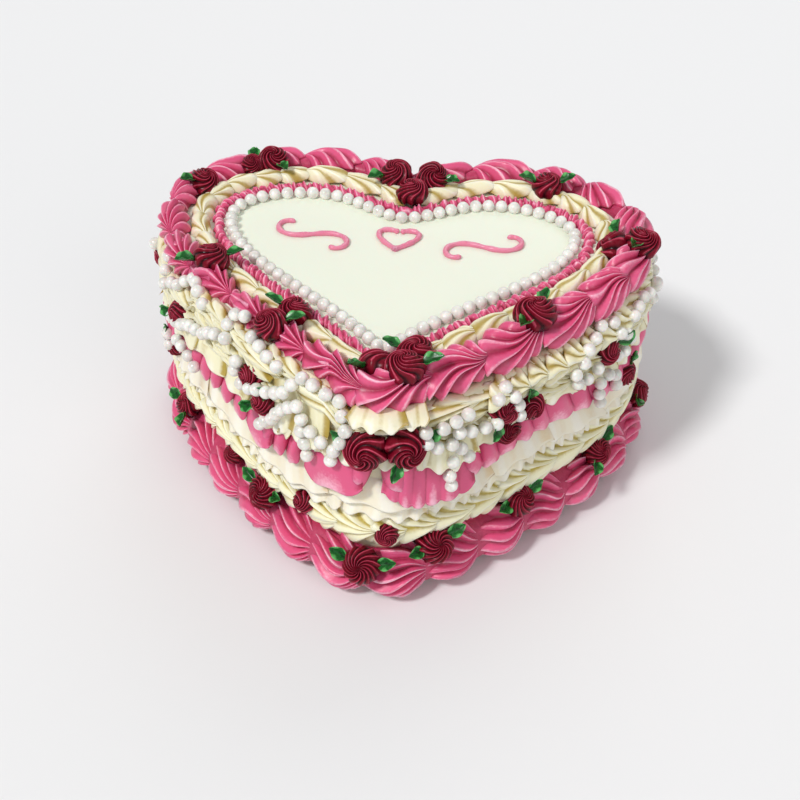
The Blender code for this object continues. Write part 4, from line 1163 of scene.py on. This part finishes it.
def rosette_piece(tier):
    """All the rosettes whose sprays are named for one tier, in one piece. Those at the foot aren't roses."""
    draw = noisy(120)
    swirls, nodes = [], []
    for spray, kind, rosettes, _ in SPRAYS:
        if spray.startswith(tier):
            nodes.append("spray_" + spray)
            for s, q, radius in rosettes:
                spot, run, way = seat(kind, s * MM, q * MM)
                swirls.append(rosette(spot, run, way, radius * MM, draw, kind != "base"))
    piece = make_piece(tier + "_rosettes", weave(swirls), burgundy_icing)
    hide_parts(*nodes)


for tier in ("top", "side", "base"):
    rosette_piece(tier)

# The leaves
# Small leaves of bright green buttercream from a leaf nozzle, pulled out from under the rosettes:
# pointed, folded along the midrib and crinkled at the edges.
LEAF_LENGTH, LEAF_HALF, LEAF_THICK = 0.0092, 0.32, 0.0009
LEAF_ROOT = 0.0030


def leaf(root, tip_way, face_way, draw, rows=16, cols=12):
    """A thin leaf with a hollow midrib, rippled edges and a tip that lifts."""
    across = unit(np.cross(face_way, tip_way))
    length = LEAF_LENGTH * draw.uniform(0.92, 1.05)
    t = np.linspace(0.02, 1, rows)[:, None]
    u = np.linspace(-1, 1, cols)[None, :]
    half = LEAF_HALF * length * np.sin(math.pi * np.clip(t, 0, 0.995) ** 0.72) ** 0.85 + 0.0002
    ripple = np.sin(t * draw.uniform(9, 13) + np.sign(u) * 0.8 + draw.uniform(0, 6))
    cup = draw.uniform(0.6, 1.1)
    lift = cup * half * np.abs(u) ** 1.2 + 0.0004 * ripple * np.abs(u) ** 2 + 0.16 * length * t**2
    thick = LEAF_THICK * (1 - 0.7 * np.abs(u)) * (1 - 0.6 * t) + 0.0002
    ahead = root + (t * length * 0.98)[..., None] * tip_way
    flat = ahead + (u * half)[..., None] * across
    front = flat + (lift + 0.0004)[..., None] * face_way
    back = flat + (lift + 0.0004 - thick)[..., None] * face_way
    # The mark puts painted shade down the hollow midrib and a painted highlight towards the lifted edges, rippling
    # with them, and painted shade on the underside.
    mark = np.clip(0.25 + 0.75 * np.abs(u) + 0.2 * ripple, 0, 1) * np.ones_like(t)
    return np.concatenate([front, back[:, ::-1]], 1), np.concatenate([mark, mark[:, ::-1] * 0.4], 1)


def leaf_lines(kind, rosettes, leaves):
    """The root, heading and facing of each leaf of a spray. It starts under the nearest rosette."""
    seats = [(seat(kind, s * MM, q * MM), radius * MM) for s, q, radius in rosettes]
    lines = []
    for s, q, *sunk in leaves:
        spot, _, way = seat(kind, s * MM, q * MM)
        (near, _, near_way), radius = min(seats, key=lambda item: np.linalg.norm(item[0][0] - spot))
        face_way = unit(way + near_way)
        heading = spot - near
        heading = unit(heading - face_way * heading.dot(face_way))
        root = near + heading * radius * 0.72 + face_way * (LEAF_ROOT - sum(sunk) * MM)
        lines.append((root, unit(heading + face_way * 0.22), face_way))
    return lines


# Its crest colour is a painted bright green highlight, and its groove colour a near black painted shade.
leaf_icing = icing(
    "leaf_buttercream",
    body=(0.010, 0.10, 0.018),
    crest=(0.12, 0.45, 0.13),
    groove=(0.0005, 0.012, 0.001),
    mottle=0.3,
    gloss=0.25,
    grain=0.25,
    glow=0.1,
    deep=(0.3, 1, 0.3),
    shine=0.3,
)
leaf_draw = noisy(130)
all_leaves = []
for _, kind, rosettes, spray_leaves in SPRAYS:
    for root, tip_way, face_way in leaf_lines(kind, rosettes, spray_leaves):
        all_leaves.append(leaf(root, tip_way, face_way, leaf_draw))
make_piece("leaves", weave(all_leaves), leaf_icing)

# The pearl strings
# Loose strings and clusters of the same sugar pearls, pressed one by one into the garland while it was soft.
# Each string is a line of points, as how far round the wall and how high, in millimetres.
STRINGS = (
    ((-147, 120), (-140, 104), (-136, 105), (-127, 109), (-118, 116), (-110, 120), (-103, 116), (-95, 116)),
    ((-130, 90), (-122, 92), (-115, 96), (-104, 102), (-97, 103), (-91, 107), (-83, 112), (-76, 112)),
    ((-87, 112), (-80, 114.5), (-80, 119.5), (-76, 123), (-69, 123.5)),
    ((-64, 119), (-57, 118), (-50, 117), (-45, 114)),
    ((-145, 68), (-145, 60)),
    ((-127, 78), (-119, 78), (-112, 77), (-107, 73)),
    ((-71, 105), (-73, 99), (-73, 93), (-65, 94), (-58, 97), (-49, 102), (-39, 108), (-35, 115), (-30, 117)),
    ((-30, 117), (-22, 117), (-14, 114), (-12, 110), (-9, 104), (-11, 98), (-14, 92), (-17, 84)),
    ((-58, 78), (-49, 88), (-45, 94), (-38, 102), (-31, 107)),
    ((-31, 99), (-36, 96)),
    ((-21, 92), (-27, 96), (-32, 91), (-29, 85), (-30, 76)),
    ((23, 102), (24, 91), (28, 92), (34, 91), (39, 87), (44, 82), (44, 76)),
    ((36, 80), (35, 74), (35, 64)),
    ((31, 101), (37, 102), (42, 103), (50, 103)),
    ((37, 96), (45, 94), (50, 92), (55, 92), (61, 88)),
    ((58, 104), (61, 107), (67, 106), (66, 103), (69, 94), (69, 87)),
    ((120, 110), (115, 108), (109, 105), (107, 101), (101, 94), (103, 89), (109, 87), (113, 90), (118, 92)),
    ((125, 81), (119, 80), (120, 72), (121, 64)),
    ((128, 108), (128, 104), (135, 98), (142, 91)),
    ((142, 104), (148, 106), (152, 107), (164, 105), (164, 99)),
    ((136, 88), (128, 89), (130, 81), (132, 73), (135, 67)),
)
REAR_STARTS = (173, 205, 252, 300)
REAR_STRING = ((0, 102), (7, 94), (14, 92), (22, 96), (30, 103))
SHOULDER = 0.0105
STRING_GAPS = (0.0, 0.0, 0.1, 0.35)


def garland_face(s, z):
    """How far out the garland's face is at a height, for a pearl pressed into it."""
    shoulder = float(garland_top(s)) - 0.002
    return SHOULDER if z < shoulder else max(SHOULDER - 0.55 * (z - shoulder), 0.001)


def string_spots():
    """Where the pearls go: along each string as close as they fit, with a gap here and there."""
    draw = noisy(141)
    strings = list(STRINGS)
    for start in REAR_STARTS:
        for side in (-1, 1):
            strings.append([(side * (start + run), z) for run, z in REAR_STRING])
    spots = []
    for points in strings:
        line = np.array(points, float) * MM
        legs = [np.linspace(a, b, 40, endpoint=False) for a, b in zip(line, line[1:])]
        gap, drift = 0.0, (0.0, 0.0)
        for s, z in np.concatenate(legs + [line[-1:]]):
            s, z = s + drift[0], z + drift[1]
            spot = place(s, garland_face(s, z), z)
            if all(np.linalg.norm(spot - other) > (2.0 + gap) * PEARL_RADIUS for other in spots):
                spots.append(spot)
                gap = draw.choice(STRING_GAPS)
                drift = (draw.uniform(-0.0007, 0.0007), draw.uniform(-0.0009, 0.0009))
    return spots


pearls_mesh("string_pearls", string_spots(), 140)

# The floor
# A plain pale floor that runs out of view, with nothing on it but the cake.
FLOOR_SIZE = 8
bpy.ops.mesh.primitive_plane_add(size=FLOOR_SIZE)
floor = bpy.context.object
floor.name = "studio_floor"
floor_paint = bpy.data.materials.new("studio_floor")
floor_paint.use_nodes = True
floor_shader = floor_paint.node_tree.nodes["Principled BSDF"]
floor_shader.inputs["Base Color"].default_value = (0.84, 0.84, 0.84, 1)
floor_shader.inputs["Roughness"].default_value = 0.7
floor.data.materials.append(floor_paint)

# The lights
# A big soft window high on the left of the camera, a weaker one on the right, and a bright room all round.


def soft_light(name, side, spread, strength):
    """A distant window on one side, spread over so many degrees."""
    lamp = bpy.data.lights.new(name, "SUN")
    lamp.angle = math.radians(spread)
    lamp.energy = strength
    light = bpy.data.objects.new(name, lamp)
    light.rotation_euler = (-Vector(side)).to_track_quat("-Z", "Y").to_euler()
    bpy.context.scene.collection.objects.link(light)


soft_light("key", (-0.7, -0.8, 1.3), 10, 1.96)
soft_light("fill", (0.9, -1.0, 0.8), 40, 0.5)
soft_light("rim", (0.2, 1.1, 1.0), 40, 0.4)
world = bpy.data.worlds.new("room")
world.use_nodes = True
room = world.node_tree.nodes["Background"]
room.inputs["Color"].default_value = (0.97, 0.98, 1.0, 1)
room.inputs["Strength"].default_value = 0.42
bpy.context.scene.world = world
bpy.context.scene.view_settings.view_transform = "Standard"

# The camera
# It looks down on the tip at the photograph's angle, a little from the right, from about two thirds of a
# metre away, through a lens that sees the picture's width of 800 from a distance of 1200.
FOCAL_PIXELS, PICTURE, SENSOR = 1200, 800, 36
EYE = (0.0703, -0.5026, 0.4327)
GAZE = (-0.1067, 0.7577, -0.6438)
lens = bpy.data.cameras.new("camera")
lens.sensor_width = SENSOR
lens.lens = SENSOR * FOCAL_PIXELS / PICTURE
lens.clip_start = 0.01
camera = bpy.data.objects.new("camera", lens)
camera.location = Vector((EYE[0] + centre[0], EYE[1] + centre[1], EYE[2]))
camera.rotation_euler = Vector(GAZE).to_track_quat("-Z", "Y").to_euler()
bpy.context.scene.collection.objects.link(camera)
bpy.context.scene.camera = camera
